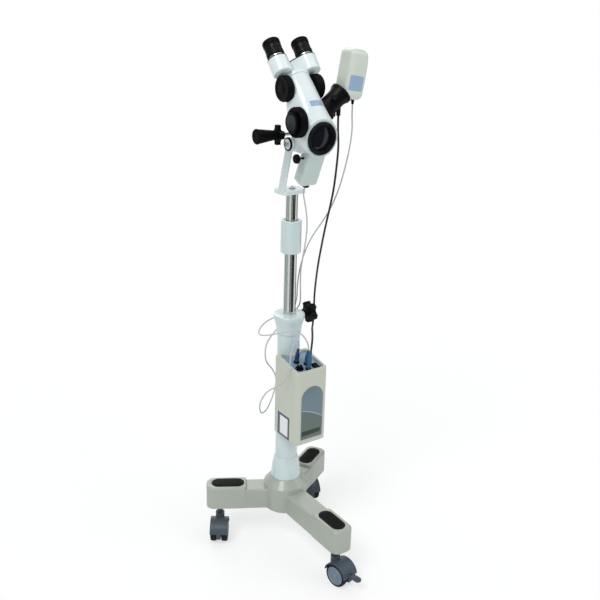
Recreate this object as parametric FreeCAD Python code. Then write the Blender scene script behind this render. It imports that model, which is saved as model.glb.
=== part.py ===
"""Binocular examination microscope with a side camera, on a wheeled three-arm stand.

Millimetres, +Z up. The origin is on the floor under the column's axis. The long front arm and the
objective point to -Y, the handle and the yoke arm are on the -X side, the camera is on the +X side.
"""
import FreeCAD, Part
import math
import os

V = FreeCAD.Vector
X, Y, Z = (1, 0, 0), (0, 1, 0), (0, 0, 1)

# ---- clearances --------------------------------------------------------------------------------
FIT = 0.05            # radial clearance of a running or push fit
SEAT = 0.3            # gap between faces of pieces that move past each other
OVERRUN = 1.0         # how far a cutting tool runs past a face

# ---- base --------------------------------------------------------------------------------------
ARM_UNDERSIDE = 90.0
BLOCK_HEIGHT = 55.0   # raised end of an arm
RIB_STEP = 6.0        # the rib lies this much lower than the raised end
BLOCK_WIDTH = 53.0
BLOCK_LENGTH = 96.0
RIB_WIDTH = 51.0
SIDE_REACH = 188.0
FRONT_REACH = 239.0
HUB_RADIUS = 51.0
HUB_HEIGHT = 60.0
HUB_CROWN = 18.0      # the cone on top of the hub
BASE_WALL = 6.0
PAD_LENGTH = 77.0
PAD_WIDTH = 34.0
PAD_RECESS = 2.0
PAD_THICKNESS = 4.0
ARMS = {"left": (150.0, SIDE_REACH), "back": (30.0, SIDE_REACH), "front": (270.0, FRONT_REACH)}

# ---- casters -----------------------------------------------------------------------------------
STEM_INSET = 32.0     # from an arm's tip to the stem
STEM_RADIUS = 5.5
SOCKET_WALL = 2.5
SOCKET_DEPTH = 34.0
WHEEL_RADIUS = 27.0
WHEEL_WIDTH = 15.0
WEB_THICKNESS = 10.0
HOOD_WALL = 2.5
HOOD_GAP = 1.5
CASTER_TRAIL = 18.0
CASTER_SHOULDER = 66.0   # height of the hood's top
AXLE_RADIUS = 3.0
HEADINGS = {"left": 235.0, "back": 75.0, "front": 280.0}
PEDAL_LENGTH = 16.0

# ---- column, collar and mast -------------------------------------------------------------------
COLUMN_RADIUS = 25.5
COLUMN_WALL = 2.5
COLUMN_TOP = 562.0
COLUMN_SEAT = 24.0    # depth of the column in the hub
CUFF_RADIUS = 34.5
CUFF_HEIGHT = 54.0
CUFF_WALL = 1.6
COLLAR_BOTTOM = 534.0
COLLAR_HEIGHT = 44.4
COLLAR_RADIUS = 35.3
COLLAR_WALL = 2.5
MAST_RADIUS = 13.8
MAST_WALL = 2.0
MAST_BOTTOM = 330.0
BUSH_LENGTH = 60.0
SLEEVE_BOTTOM = 721.0
SLEEVE_LENGTH = 73.0
SLEEVE_RADIUS = 22.5
MAST_SEAT = 24.0      # depth of the mast in the sleeve
POST_RADIUS = 13.0
POST_WALL = 2.5
POST_TOP = 854.0
SWIVEL_BUSH_WALL = 3.0
HEIGHT_KNOB_RADIUS = 24.0
HEIGHT_KNOB_THICKNESS = 14.0
HEIGHT_KNOB_PLACE = 48.0
STUD_RADIUS = 4.0

# ---- yoke --------------------------------------------------------------------------------------
YOKE_PLATE_THICKNESS = 8.0
YOKE_OUTER_X = -36.0
YOKE_INNER_EDGE_X = 24.0
YOKE_DEPTH = 46.0
YOKE_ARM_THICKNESS = 6.0
YOKE_ARM_WIDTH = 19.0
YOKE_EYE_RADIUS = 14.0
PIVOT_Y = -37.0
PIVOT_Z = 965.0
PIVOT_RADIUS = 5.0

# ---- head --------------------------------------------------------------------------------------
NOSE_DOWN = 5.0       # degrees below the horizontal
OBJECTIVE_Y = -105.0
OBJECTIVE_Z = 983.0
OBJECTIVE_RADIUS = 32.0
OBJECTIVE_BORE = 26.0
OBJECTIVE_DEPTH = 22.0
OBJECTIVE_PROUD = 6.0
RIM_RADIUS = 33.0     # the part of the ring in front of the bezel
LENS_THICKNESS = 7.0
LENS_INSET = 8.0
BEZEL_RADIUS = 39.5
NECK_Y = -9.0
NECK_Z = 1081.0
NECK_RADIUS = 28.0
EYE_ANGLE = 50.0      # elevation of the eyepieces
HEAD_WALL = 3.5
HEAD_SETBACK = 1.6    # degrees of the fan between the cavity and each end of the head
HEAD_BULGES = (       # share of the fan; how far the front, back and flanks bulge, in bezel radii
    (0.0, 0.0, 0.0, 0.0), (0.156, 0.207, 0.251, 0.045), (0.333, 0.321, 0.433, 0.09),
    (0.622, 0.303, 0.035, 0.062), (1.0, 0.0, 0.0, 0.0))
RELIEF_RADIUS = 21.5  # flat round the pivot that lets the yoke arm pass the head
BOSS_BOTTOM = 951.5
BOSS_TOP = 998.0
BOSS_FRONT_Y = -76.0
BOSS_BACK_Y = -24.0
BOSS_THICKNESS = 20.0
FOCUS_BOSS_RADIUS = 15.0
FOCUS_BOSS_ROOT = 10.0   # from the middle of the head

# ---- knobs and handle --------------------------------------------------------------------------
HANDLE_Y = -50.0
HANDLE_Z = 988.5
ROD_RADIUS = 3.2
GRIP_START_X = -76.0
GRIP_LENGTH = 47.0
GRIP_SMALL_RADIUS = 9.0
GRIP_BIG_RADIUS = 15.3
LOCK_RADIUS = 20.0
LOCK_THICKNESS = 8.0
FOCUS_Y = -83.0
FOCUS_Z = 1016.0
FOCUS_RADIUS = 30.0
FOCUS_THICKNESS = 15.0
FOCUS_START_X = -40.5
FINE_RADIUS = 20.5
FINE_THICKNESS = 8.0
MAGNIFIER_Y = -20.5
MAGNIFIER_Z = 1073.0
MAGNIFIER_RADIUS = 26.0
MAGNIFIER_THICKNESS = 16.0
MAGNIFIER_START = 29.5
SHAFT_RADIUS = 4.0

# ---- lamp --------------------------------------------------------------------------------------
LAMP_LEAN = 23.6      # degrees; the housing leans back towards its lower end
LAMP_WIDTH = 42.0
LAMP_DEPTH = 34.0
LAMP_LENGTH = 78.0
LAMP_WALL = 2.5
LAMP_TOP_Y = -77.727225  # the middle of the housing's upper end, which sits in the head
LAMP_TOP_Z = 957.476293
LAMP_BOTTOM_Y = LAMP_TOP_Y + LAMP_LENGTH * math.sin(math.radians(LAMP_LEAN))
LAMP_BOTTOM_Z = LAMP_TOP_Z - LAMP_LENGTH * math.cos(math.radians(LAMP_LEAN))
GLAND_RADIUS = 9.0
GLAND_LENGTH = 9.0
FILTER_DROP = 18.0    # of the filter knob below the lamp housing's upper end
FILTER_HEIGHT = LAMP_LENGTH - FILTER_DROP
FILTER_RADIUS = 9.5
FILTER_THICKNESS = 11.0
FILTER_REACH = 13.0   # from the housing's side to the knob

# ---- binocular ---------------------------------------------------------------------------------
BASE_PLATE_RADIUS = 29.5
BASE_PLATE_THICKNESS = 7.0
HINGE_HALF_SPACING = 12.5
HINGE_BOSS_RADIUS = 12.0
EYE_SWING_RADIUS = 25.5
EYE_SWING_ANGLE = 30.0
PRISM_RADIUS = 20.5
PRISM_THICKNESS = 33.0
SEAM_THICKNESS = 2.5
EYE_TUBE_RADIUS = 15.0
EYE_TUBE_LENGTH = 26.0
DIOPTER_RADIUS = 18.5
DIOPTER_LENGTH = 36.0
DIOPTER_START = 5.0
HINGE_PIN_RADIUS = 5.0

# ---- camera ------------------------------------------------------------------------------------
PORT_X, PORT_Y, PORT_Z = 26.0, -50.0, 1018.0
PORT_RISE = 38.5      # degrees above the horizontal
ADAPTER_RADIUS = 20.0
ADAPTER_LENGTH = 72.0
ADAPTER_FLANGE_RADIUS = 24.0
ADAPTER_FLANGE_LENGTH = 26.0
ADAPTER_BORE = 15.0
CAMERA_WIDTH = 48.0
CAMERA_DEPTH = 50.0
CAMERA_HEIGHT = 100.0
CAMERA_TILT = 10.0
CAMERA_WALL = 2.5
CAMERA_ROUND = 14.0
CAMERA_X, CAMERA_Y, CAMERA_Z = 107.0, -50.0, 1099.0

# ---- power box ---------------------------------------------------------------------------------
BOX_HALF_WIDTH = 41.0
BOX_FRONT_Y = -98.0
BOX_BACK_Y = -11.0
BOX_BOTTOM = 299.0
BOX_FRONT_TOP = 476.0
BOX_RISE = 10.0       # degrees; the top rises towards the column
BOX_WALL = 3.0
BOX_ROUND = 11.0
BOX_RIM = 7.0         # width of the rim round the recessed panel
BOX_EDGE = 3.0        # round of the outer edges
PANEL_RECESS = 4.0
PANEL_THICKNESS = 2.0
PLUG_RADIUS = 5.0
PLUG_LENGTH = 34.0
SOCKET_RADIUS = 6.5
SOCKET_HEIGHT = 3.0
LAMP_SOCKET = (5.0, -64.0)
CAMERA_SOCKET = (-12.0, -50.0)
VIDEO_SOCKET = (-2.0, -82.0)
DIAL_PLACE = (-20.0, -74.0)
DIAL_RADIUS = 6.5
DIAL_HEIGHT = 9.0
SWITCH_PLACE = (20.0, -79.0)
SWITCH_WIDTH = 13.0
SWITCH_LENGTH = 19.0
SWITCH_AXIS_Z = -5.0  # of the rocker's trunnions, from the panel's face
STRAP_HEIGHTS = (335.0, 445.0)
STRAP_WIDTH = 14.0
STRAP_THICKNESS = 2.0
FRONT_PLATE_WIDTH = 62.0
FRONT_PLATE_BOTTOM = 312.0
FRONT_PLATE_HEIGHT = 127.0
FRONT_PLATE_THICKNESS = 1.2
INLET_WIDTH = 27.0
INLET_HEIGHT = 20.0
INLET_Z = 322.0
INLET_Y = -60.0
INLET_DEPTH = 16.0

# ---- cords -------------------------------------------------------------------------------------
THIN_CORD = 3.0
VIDEO_CORD = 4.5
CORD_LEAD = 16.0      # a cord leaves its gland or plug straight for this length
CAMERA_LEAD = 22.0
VIDEO_LEAD = 30.0


# ================================ helpers =======================================================
def vec(point):
    return V(*point)


def cylinder(radius, length, start=(0, 0, 0), axis=Z):
    return Part.makeCylinder(radius, length, vec(start), vec(axis))


def cone(start_radius, end_radius, length, start=(0, 0, 0), axis=Z):
    return Part.makeCone(start_radius, end_radius, length, vec(start), vec(axis))


def tube(outer, inner, length, start=(0, 0, 0), axis=Z):
    """A round tube; its bore runs past both ends."""
    direction = vec(axis).normalize()
    bore_start = vec(start) - direction * OVERRUN
    bore = Part.makeCylinder(inner, length + 2 * OVERRUN, bore_start, direction)
    return cylinder(outer, length, start, axis).cut(bore)


def block(low, high):
    size = [high[i] - low[i] for i in range(3)]
    return Part.makeBox(size[0], size[1], size[2], vec(low))


def along(start, axis, distance):
    """The point at a distance from start along axis."""
    point = vec(start) + vec(axis).normalize() * distance
    return (point.x, point.y, point.z)


def turned(shape, degrees, centre=(0, 0, 0), axis=Z):
    copy = shape.copy()
    copy.rotate(vec(centre), vec(axis), degrees)
    return copy


def moved(shape, x, y, z):
    copy = shape.copy()
    copy.translate(V(x, y, z))
    return copy


def fuse(shapes):
    joined = shapes[0].multiFuse(shapes[1:])
    return joined.removeSplitter()


def polygon_face(points):
    return Part.Face(Part.makePolygon([vec(p) for p in points] + [vec(points[0])]))


def stadium(length, width, thickness, bottom):
    """A slab with round ends, centred on the Z axis and long in X."""
    half = (length - width) / 2
    middle = block((-half, -width / 2, bottom), (half, width / 2, bottom + thickness))
    ends = [cylinder(width / 2, thickness, (side * half, 0, bottom)) for side in (-1, 1)]
    return fuse([middle] + ends)


def teardrop(hub, hub_radius, eye, eye_radius, thickness, bottom):
    """A slab round two circles and the straight flanks between them."""
    reach = math.dist(hub, eye)
    heading = math.atan2(eye[1] - hub[1], eye[0] - hub[0])
    spread = math.acos((hub_radius - eye_radius) / reach)
    corners = []
    for centre, radius in ((hub, hub_radius), (eye, eye_radius)):
        for side in (-1, 1):
            angle = heading + side * spread
            corners.append((centre[0] + radius * math.cos(angle), centre[1] + radius * math.sin(angle)))
    flat = [corners[0], corners[2], corners[3], corners[1]]
    middle = polygon_face([(x, y, bottom) for x, y in flat]).extrude(V(0, 0, thickness))
    rounds = [cylinder(radius, thickness, (centre[0], centre[1], bottom))
              for centre, radius in ((hub, hub_radius), (eye, eye_radius))]
    return fuse([middle] + rounds)


def lobed_disc(radius, thickness, lobes, hollow, start, axis):
    """A clamp knob: a disc with round hollows between its lobes."""
    disc = Part.makeCylinder(radius, thickness)
    for i in range(lobes):
        angle = 2 * math.pi * (i + 0.5) / lobes
        place = (1.12 * radius * math.cos(angle), 1.12 * radius * math.sin(angle), -OVERRUN)
        disc = disc.cut(cylinder(hollow, thickness + 2 * OVERRUN, place))
    disc.Placement = FreeCAD.Placement(vec(start), FreeCAD.Rotation(V(0, 0, 1), vec(axis)))
    return disc


def profile_solid(points):
    """A solid of revolution about the Z axis from (radius, height) points."""
    face = polygon_face([(radius, 0, height) for radius, height in points])
    return face.revolve(V(0, 0, 0), V(0, 0, 1), 360)


def round_corners(shape, radius, wanted):
    """Fillets the edges that wanted(edge) accepts."""
    edges = [edge for edge in shape.Edges if wanted(edge)]
    return shape.makeFillet(radius, edges)


def is_along(edge, axis):
    if not isinstance(edge.Curve, Part.Line):
        return False
    return abs(edge.tangentAt(edge.FirstParameter).dot(vec(axis))) > 0.999


def cord_tube(name, points, diameter):
    """A tube of straight runs and tangent arcs through a cord's route."""
    route = [vec(p) for p in points]
    edges = []
    radii = []
    here = route[0]
    for before, corner, after in zip(route, route[1:], route[2:]):
        back = (before - corner).normalize()
        ahead = (after - corner).normalize()
        half_turn = (math.pi - back.getAngle(ahead)) / 2
        shorter = min(before.distanceToPoint(corner), after.distanceToPoint(corner))
        cut = 0.45 * shorter
        radius = cut / math.tan(half_turn)
        middle = (back + ahead).normalize()
        start, end = corner + back * cut, corner + ahead * cut
        top = corner + middle * (radius / math.cos(half_turn) - radius)
        edges.append(Part.LineSegment(here, start).toShape())
        edges.append(Part.Arc(start, top, end).toShape())
        radii.append(radius)
        here = end
    edges.append(Part.LineSegment(here, route[-1]).toShape())
    path = Part.Wire(edges)
    first = (route[1] - route[0]).normalize()
    section = Part.Wire(Part.makeCircle(diameter / 2, route[0], first))
    solid = path.makePipeShell([section], True, False)
    expected = math.pi * diameter ** 2 / 4 * path.Length
    print(name, "length", round(path.Length), "least radius", round(min(radii), 1),
          "volume ratio", round(solid.Volume / expected, 4))
    return solid


# ================================ base and casters ==============================================
def radial(angle, reach, height):
    turn = math.radians(angle)
    return (reach * math.cos(turn), reach * math.sin(turn), height)


BLOCK_TOP = ARM_UNDERSIDE + BLOCK_HEIGHT
RIB_TOP = BLOCK_TOP - RIB_STEP
HUB_SHOULDER = ARM_UNDERSIDE + HUB_HEIGHT
HUB_TOP = HUB_SHOULDER + HUB_CROWN
COLUMN_BOTTOM = HUB_TOP - COLUMN_SEAT


def base_arm(reach):
    """One arm along +X: a low rib and a raised end with rounded corners."""
    start = reach - BLOCK_LENGTH
    half = BLOCK_WIDTH / 2
    end = block((start, -half, ARM_UNDERSIDE), (reach, half, BLOCK_TOP))
    end = round_corners(end, 19.0, lambda e: is_along(e, Z) and e.CenterOfMass.x > start + 1)
    end = round_corners(end, 9.0, lambda e: is_along(e, Z) and e.CenterOfMass.x < start + 10)
    end = round_corners(end, 5.0, lambda e: e.BoundBox.ZMin > BLOCK_TOP - 0.01)
    rib = block((0, -RIB_WIDTH / 2, ARM_UNDERSIDE), (start + 20, RIB_WIDTH / 2, RIB_TOP))
    rib = round_corners(rib, 5.0, lambda e: is_along(e, X) and e.BoundBox.ZMin > RIB_TOP - 0.01)
    return end.fuse(rib)


def arm_cuts(reach):
    """What is taken out of one arm along +X: underside pocket, pad recess and socket bore."""
    wall = BASE_WALL
    socket_x = reach - STEM_INSET
    pocket_end = socket_x - STEM_RADIUS - SOCKET_WALL - wall
    pocket = block((HUB_RADIUS * 0.6, wall - RIB_WIDTH / 2, ARM_UNDERSIDE - OVERRUN),
                   (pocket_end, RIB_WIDTH / 2 - wall, RIB_TOP - wall))
    pad_x = reach - BLOCK_LENGTH / 2 - 3.0
    recess = moved(stadium(PAD_LENGTH + 2 * FIT, PAD_WIDTH + 2 * FIT, PAD_RECESS + OVERRUN,
                           BLOCK_TOP - PAD_RECESS), pad_x, 0, 0)
    bore = cylinder(STEM_RADIUS + SOCKET_WALL, SOCKET_DEPTH + OVERRUN, (socket_x, 0, ARM_UNDERSIDE - OVERRUN))
    return [pocket, recess, bore]


def make_base():
    hub = cylinder(HUB_RADIUS, HUB_HEIGHT, (0, 0, ARM_UNDERSIDE))
    crown = cone(HUB_RADIUS, CUFF_RADIUS + 1.5, HUB_CROWN, (0, 0, HUB_SHOULDER))
    arms = [turned(base_arm(reach), angle) for angle, reach in ARMS.values()]
    casting = fuse([hub, crown] + arms)
    seat = cylinder(COLUMN_RADIUS + FIT, COLUMN_SEAT + OVERRUN, (0, 0, COLUMN_BOTTOM))
    cavity = cylinder(HUB_RADIUS - BASE_WALL, COLUMN_BOTTOM - ARM_UNDERSIDE - BASE_WALL + OVERRUN,
                      (0, 0, ARM_UNDERSIDE - OVERRUN))
    way = cylinder(COLUMN_RADIUS - 2 * COLUMN_WALL, HUB_TOP - ARM_UNDERSIDE, (0, 0, ARM_UNDERSIDE))
    casting = casting.cut(seat).cut(cavity).cut(way)
    for angle, reach in ARMS.values():
        for tool in arm_cuts(reach):
            casting = casting.cut(turned(tool, angle))
    return casting


def make_foot_pads():
    pads = []
    for angle, reach in ARMS.values():
        pad = stadium(PAD_LENGTH, PAD_WIDTH, PAD_THICKNESS, BLOCK_TOP - PAD_RECESS)
        pad = moved(pad, reach - BLOCK_LENGTH / 2 - 3.0, 0, 0)
        pads.append(turned(pad, angle))
    return Part.makeCompound(pads)


def stem_place(arm):
    angle, reach = ARMS[arm]
    return radial(angle, reach - STEM_INSET, 0)


def make_caster_sockets():
    sockets = []
    for arm in ARMS:
        x, y, _ = stem_place(arm)
        sockets.append(tube(STEM_RADIUS + SOCKET_WALL, STEM_RADIUS + FIT, SOCKET_DEPTH, (x, y, ARM_UNDERSIDE)))
    return Part.makeCompound(sockets)


PEDAL_X = CASTER_TRAIL + WHEEL_RADIUS + HOOD_GAP + HOOD_WALL + 4.0
PEDAL_Z = WHEEL_RADIUS + 9.0
PEDAL_PIN_RADIUS = 1.5
EAR_INNER = 4.5
EAR_OUTER = 7.5


def caster_hood(ears):
    """A hood with its stem at the origin and its wheels trailing along +X; ears carry a pedal."""
    centre = (CASTER_TRAIL, 0, WHEEL_RADIUS)
    side = WEB_THICKNESS / 2 + WHEEL_WIDTH + 1.0
    inner = WHEEL_RADIUS + HOOD_GAP
    outer = inner + HOOD_WALL
    fender = tube(outer, inner, 2 * side, (CASTER_TRAIL, -side, WHEEL_RADIUS), Y)
    around = 3 * outer
    fender = fender.cut(block((-around, -around, -2 * outer), (around, around, WHEEL_RADIUS + 5.0)))
    web = cylinder(outer, WEB_THICKNESS, (CASTER_TRAIL, -WEB_THICKNESS / 2, WHEEL_RADIUS), Y)
    web = web.cut(block((-around, -around, -2 * outer), (around, around, WHEEL_RADIUS - 9.0)))
    boss = cylinder(STEM_RADIUS + 5.0, CASTER_SHOULDER - WHEEL_RADIUS, (0, 0, WHEEL_RADIUS))
    boss = boss.cut(cylinder(inner + 1.0, 4 * side, (CASTER_TRAIL, -2 * side, WHEEL_RADIUS), Y))
    hood = fuse([fender, web, boss])
    if ears:
        lugs = block((CASTER_TRAIL + inner + 0.5, -EAR_OUTER, PEDAL_Z - 3.0),
                     (PEDAL_X + 3.0, EAR_OUTER, PEDAL_Z + 3.0))
        gap = block((CASTER_TRAIL + outer - 1.5, -EAR_INNER, PEDAL_Z - 5.0), (PEDAL_X + 5.0, EAR_INNER, PEDAL_Z + 5.0))
        hood = fuse([hood, lugs]).cut(gap)
        hood = hood.cut(cylinder(PEDAL_PIN_RADIUS + FIT, 2 * EAR_OUTER + 2, (PEDAL_X, -EAR_OUTER - 1, PEDAL_Z), Y))
    stem = cylinder(STEM_RADIUS, ARM_UNDERSIDE + SOCKET_DEPTH - 4.0 - CASTER_SHOULDER, (0, 0, CASTER_SHOULDER))
    bore_start = (centre[0], -WEB_THICKNESS, centre[2])
    hood = fuse([hood, stem])
    return hood.cut(cylinder(AXLE_RADIUS + FIT, 2 * WEB_THICKNESS, bore_start, Y))


def caster_wheels():
    """Two wheels pressed on one axle."""
    solids = []
    for side in (-1, 1):
        inner_y = WEB_THICKNESS / 2 + 0.5
        low_y = inner_y if side > 0 else -inner_y - WHEEL_WIDTH
        wheel = cylinder(WHEEL_RADIUS, WHEEL_WIDTH, (CASTER_TRAIL, low_y, WHEEL_RADIUS), Y)
        rims = [e for e in wheel.Edges if isinstance(e.Curve, Part.Circle)]
        wheel = wheel.makeFillet(3.0, rims)
        face_y = low_y + WHEEL_WIDTH - 2.0 if side > 0 else low_y - OVERRUN
        dish = cylinder(WHEEL_RADIUS - 6.0, 2.0 + OVERRUN, (CASTER_TRAIL, face_y, WHEEL_RADIUS), Y)
        bore = cylinder(AXLE_RADIUS, WHEEL_WIDTH + 2 * OVERRUN, (CASTER_TRAIL, low_y - OVERRUN, WHEEL_RADIUS), Y)
        solids.append(wheel.cut(dish).cut(bore))
    reach = WEB_THICKNESS / 2 + WHEEL_WIDTH - 1.0
    solids.append(cylinder(AXLE_RADIUS, 2 * reach, (CASTER_TRAIL, -reach, WHEEL_RADIUS), Y))
    return Part.makeCompound(solids)


def brake_pedal():
    """A tab behind the hood that is trodden on to hold the wheels."""
    half = EAR_INNER - SEAT
    low_z = PEDAL_Z - 2.0
    root = cylinder(2.8, 2 * half, (PEDAL_X, -half, PEDAL_Z), Y)
    tab = block((PEDAL_X, -half, low_z), (PEDAL_X + PEDAL_LENGTH, half, low_z + 4.0))
    toe = block((PEDAL_X + 5.0, -8.0, low_z), (PEDAL_X + PEDAL_LENGTH, 8.0, low_z + 4.0))
    tip = cylinder(8.0, 4.0, (PEDAL_X + PEDAL_LENGTH, 0, low_z))
    pin = cylinder(PEDAL_PIN_RADIUS, 2 * EAR_OUTER, (PEDAL_X, -EAR_OUTER, PEDAL_Z), Y)
    return fuse([root, tab, toe, tip, pin])


def on_caster(shape, arm):
    x, y, _ = stem_place(arm)
    return moved(turned(shape, HEADINGS[arm]), x, y, 0)


# ================================ column, collar and mast =======================================
def make_column():
    return tube(COLUMN_RADIUS, COLUMN_RADIUS - COLUMN_WALL, COLUMN_TOP - COLUMN_BOTTOM, (0, 0, COLUMN_BOTTOM))


def make_cuff():
    """The flared trim at the column's foot."""
    bore = COLUMN_RADIUS + FIT
    return profile_solid([
        (bore, HUB_TOP), (CUFF_RADIUS, HUB_TOP), (CUFF_RADIUS - 0.8, HUB_TOP + 0.28 * CUFF_HEIGHT),
        (CUFF_RADIUS - 3.4, HUB_TOP + 0.62 * CUFF_HEIGHT),
        (COLUMN_RADIUS + CUFF_WALL, HUB_TOP + CUFF_HEIGHT), (bore, HUB_TOP + CUFF_HEIGHT)])


def collar_top():
    return COLLAR_BOTTOM + COLLAR_HEIGHT


def make_collar():
    """A trumpet round the column's top, closed by a lid with a hole for the mast."""
    bore = COLUMN_RADIUS + FIT
    mouth = MAST_RADIUS + 1.0
    lid = COLUMN_TOP + 2.5
    top = collar_top()
    shape = profile_solid([
        (bore, COLLAR_BOTTOM), (COLUMN_RADIUS + COLLAR_WALL, COLLAR_BOTTOM),
        (COLUMN_RADIUS + COLLAR_WALL + 1.3, COLLAR_BOTTOM + 0.35 * COLLAR_HEIGHT),
        (COLLAR_RADIUS - 2.6, COLLAR_BOTTOM + 0.68 * COLLAR_HEIGHT),
        (COLLAR_RADIUS, COLLAR_BOTTOM + 0.86 * COLLAR_HEIGHT), (COLLAR_RADIUS, top - 1.5),
        (COLLAR_RADIUS - 1.5, top), (mouth, top), (mouth, lid), (bore, lid)])
    return shape.cut(cylinder(STUD_RADIUS + FIT, COLLAR_RADIUS, (MAST_RADIUS, 0, height_knob_z()), X))


def height_knob_z():
    return (COLUMN_TOP + 2.5 + collar_top()) / 2


def make_guide_bush():
    inner = MAST_RADIUS + FIT
    body = tube(COLUMN_RADIUS - COLUMN_WALL - FIT, inner, BUSH_LENGTH, (0, 0, COLUMN_TOP - BUSH_LENGTH))
    flange = tube(COLUMN_RADIUS - FIT, inner, 2.0, (0, 0, COLUMN_TOP))
    return fuse([body, flange])


def make_lower_mast():
    length = SLEEVE_BOTTOM + MAST_SEAT - MAST_BOTTOM
    return tube(MAST_RADIUS, MAST_RADIUS - MAST_WALL, length, (0, 0, MAST_BOTTOM))


SLEEVE_TOP = SLEEVE_BOTTOM + SLEEVE_LENGTH
SWIVEL_FLOOR = SLEEVE_BOTTOM + MAST_SEAT + 2.0


def make_sleeve():
    body = cylinder(SLEEVE_RADIUS, SLEEVE_LENGTH, (0, 0, SLEEVE_BOTTOM))
    body = round_corners(body, 1.5, lambda e: isinstance(e.Curve, Part.Circle))
    lower = cylinder(MAST_RADIUS, MAST_SEAT + OVERRUN, (0, 0, SLEEVE_BOTTOM - OVERRUN))
    upper_radius = POST_RADIUS + SWIVEL_BUSH_WALL
    upper = cylinder(upper_radius, SLEEVE_TOP - SWIVEL_FLOOR + OVERRUN, (0, 0, SWIVEL_FLOOR))
    return body.cut(lower).cut(upper)


def make_swivel_bush():
    return tube(POST_RADIUS + SWIVEL_BUSH_WALL, POST_RADIUS + FIT, SLEEVE_TOP - SWIVEL_FLOOR, (0, 0, SWIVEL_FLOOR))


def make_height_knob():
    """A five-lobed clamp knob whose stud runs through the collar to the mast."""
    z = height_knob_z()
    knob = lobed_disc(HEIGHT_KNOB_RADIUS, HEIGHT_KNOB_THICKNESS, 5, 9.5, (HEIGHT_KNOB_PLACE, 0, z), X)
    hub = cone(8.0, 11.0, HEIGHT_KNOB_PLACE - COLLAR_RADIUS - SEAT, (COLLAR_RADIUS + SEAT, 0, z), X)
    stud = cylinder(STUD_RADIUS, HEIGHT_KNOB_PLACE - MAST_RADIUS - SEAT, (MAST_RADIUS + SEAT, 0, z), X)
    return fuse([knob, hub, stud])


def make_upper_post():
    post = tube(POST_RADIUS, POST_RADIUS - POST_WALL, POST_TOP - SWIVEL_FLOOR - SEAT, (0, 0, SWIVEL_FLOOR + SEAT))
    plug = tube(POST_RADIUS - POST_WALL, STUD_RADIUS, 24.0, (0, 0, POST_TOP - 24.0))
    return fuse([post, plug])


# ================================ yoke ==========================================================
YOKE_PLATE_TOP = POST_TOP + YOKE_PLATE_THICKNESS
YOKE_INNER_X = YOKE_OUTER_X + YOKE_ARM_THICKNESS


def make_yoke():
    """A plate on the post and one arm that leans forward to the tilt pivot."""
    half = YOKE_DEPTH / 2
    plate = block((YOKE_OUTER_X, -half, POST_TOP), (YOKE_INNER_EDGE_X, half, YOKE_PLATE_TOP))
    plate = round_corners(plate, 12.0, lambda e: is_along(e, Z))
    foot_y, width = -7.5, YOKE_ARM_WIDTH / 2
    outline = [(YOKE_OUTER_X, foot_y - width, POST_TOP), (YOKE_OUTER_X, foot_y + width, POST_TOP),
               (YOKE_OUTER_X, PIVOT_Y + width, PIVOT_Z), (YOKE_OUTER_X, PIVOT_Y - width, PIVOT_Z)]
    arm = polygon_face(outline).extrude(V(YOKE_ARM_THICKNESS, 0, 0))
    eye = cylinder(YOKE_EYE_RADIUS, YOKE_ARM_THICKNESS, (YOKE_OUTER_X, PIVOT_Y, PIVOT_Z), X)
    yoke = fuse([plate, arm, eye])
    yoke = yoke.cut(cylinder(PIVOT_RADIUS, 40.0, (YOKE_OUTER_X - 20.0, PIVOT_Y, PIVOT_Z), X))
    return yoke.cut(cylinder(STUD_RADIUS, 40.0, (0, 0, POST_TOP - 20.0)))


def make_yoke_fasteners():
    """The screw that holds the plate on the post and the pivot pin with its cap."""
    screw = fuse([cylinder(STUD_RADIUS, 20.0 + YOKE_PLATE_THICKNESS, (0, 0, POST_TOP - 20.0)),
                  cylinder(7.0, 4.0, (0, 0, YOKE_PLATE_TOP))])
    pin_length = YOKE_ARM_THICKNESS + 16.0
    pin = fuse([cylinder(PIVOT_RADIUS, pin_length, (YOKE_OUTER_X, PIVOT_Y, PIVOT_Z), X),
                cylinder(YOKE_EYE_RADIUS - 1.0, 3.5, (YOKE_OUTER_X - 3.5, PIVOT_Y, PIVOT_Z), X),
                cylinder(6.0, 3.0, (YOKE_OUTER_X - 6.5, PIVOT_Y, PIVOT_Z), X)])
    return Part.makeCompound([screw, pin])


# ================================ head ==========================================================
NOSE = (0, -math.cos(math.radians(NOSE_DOWN)), -math.sin(math.radians(NOSE_DOWN)))
EYE_AXIS = (0, math.cos(math.radians(EYE_ANGLE)), math.sin(math.radians(EYE_ANGLE)))
OBJECTIVE = (0, OBJECTIVE_Y, OBJECTIVE_Z)
NECK = (0, NECK_Y, NECK_Z)
BEZEL = along(OBJECTIVE, NOSE, -OBJECTIVE_PROUD)
BOSS_OUTER_X = YOKE_INNER_X + SEAT
NECK_REACH = 7.03     # the neck runs this far past its centre to the binocular base
NECK_END = along(NECK, EYE_AXIS, NECK_REACH)


def fan_line():
    """(y, z) of the line along X where the bezel's plane and the neck's end plane meet."""
    nose, eye = vec(NOSE), vec(EYE_AXIS)
    at_nose, at_eye = nose.dot(vec(BEZEL)), eye.dot(vec(NECK_END))
    cross = nose.y * eye.z - nose.z * eye.y
    return (at_nose * eye.z - at_eye * nose.z) / cross, (at_eye * nose.y - at_nose * eye.y) / cross


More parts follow.
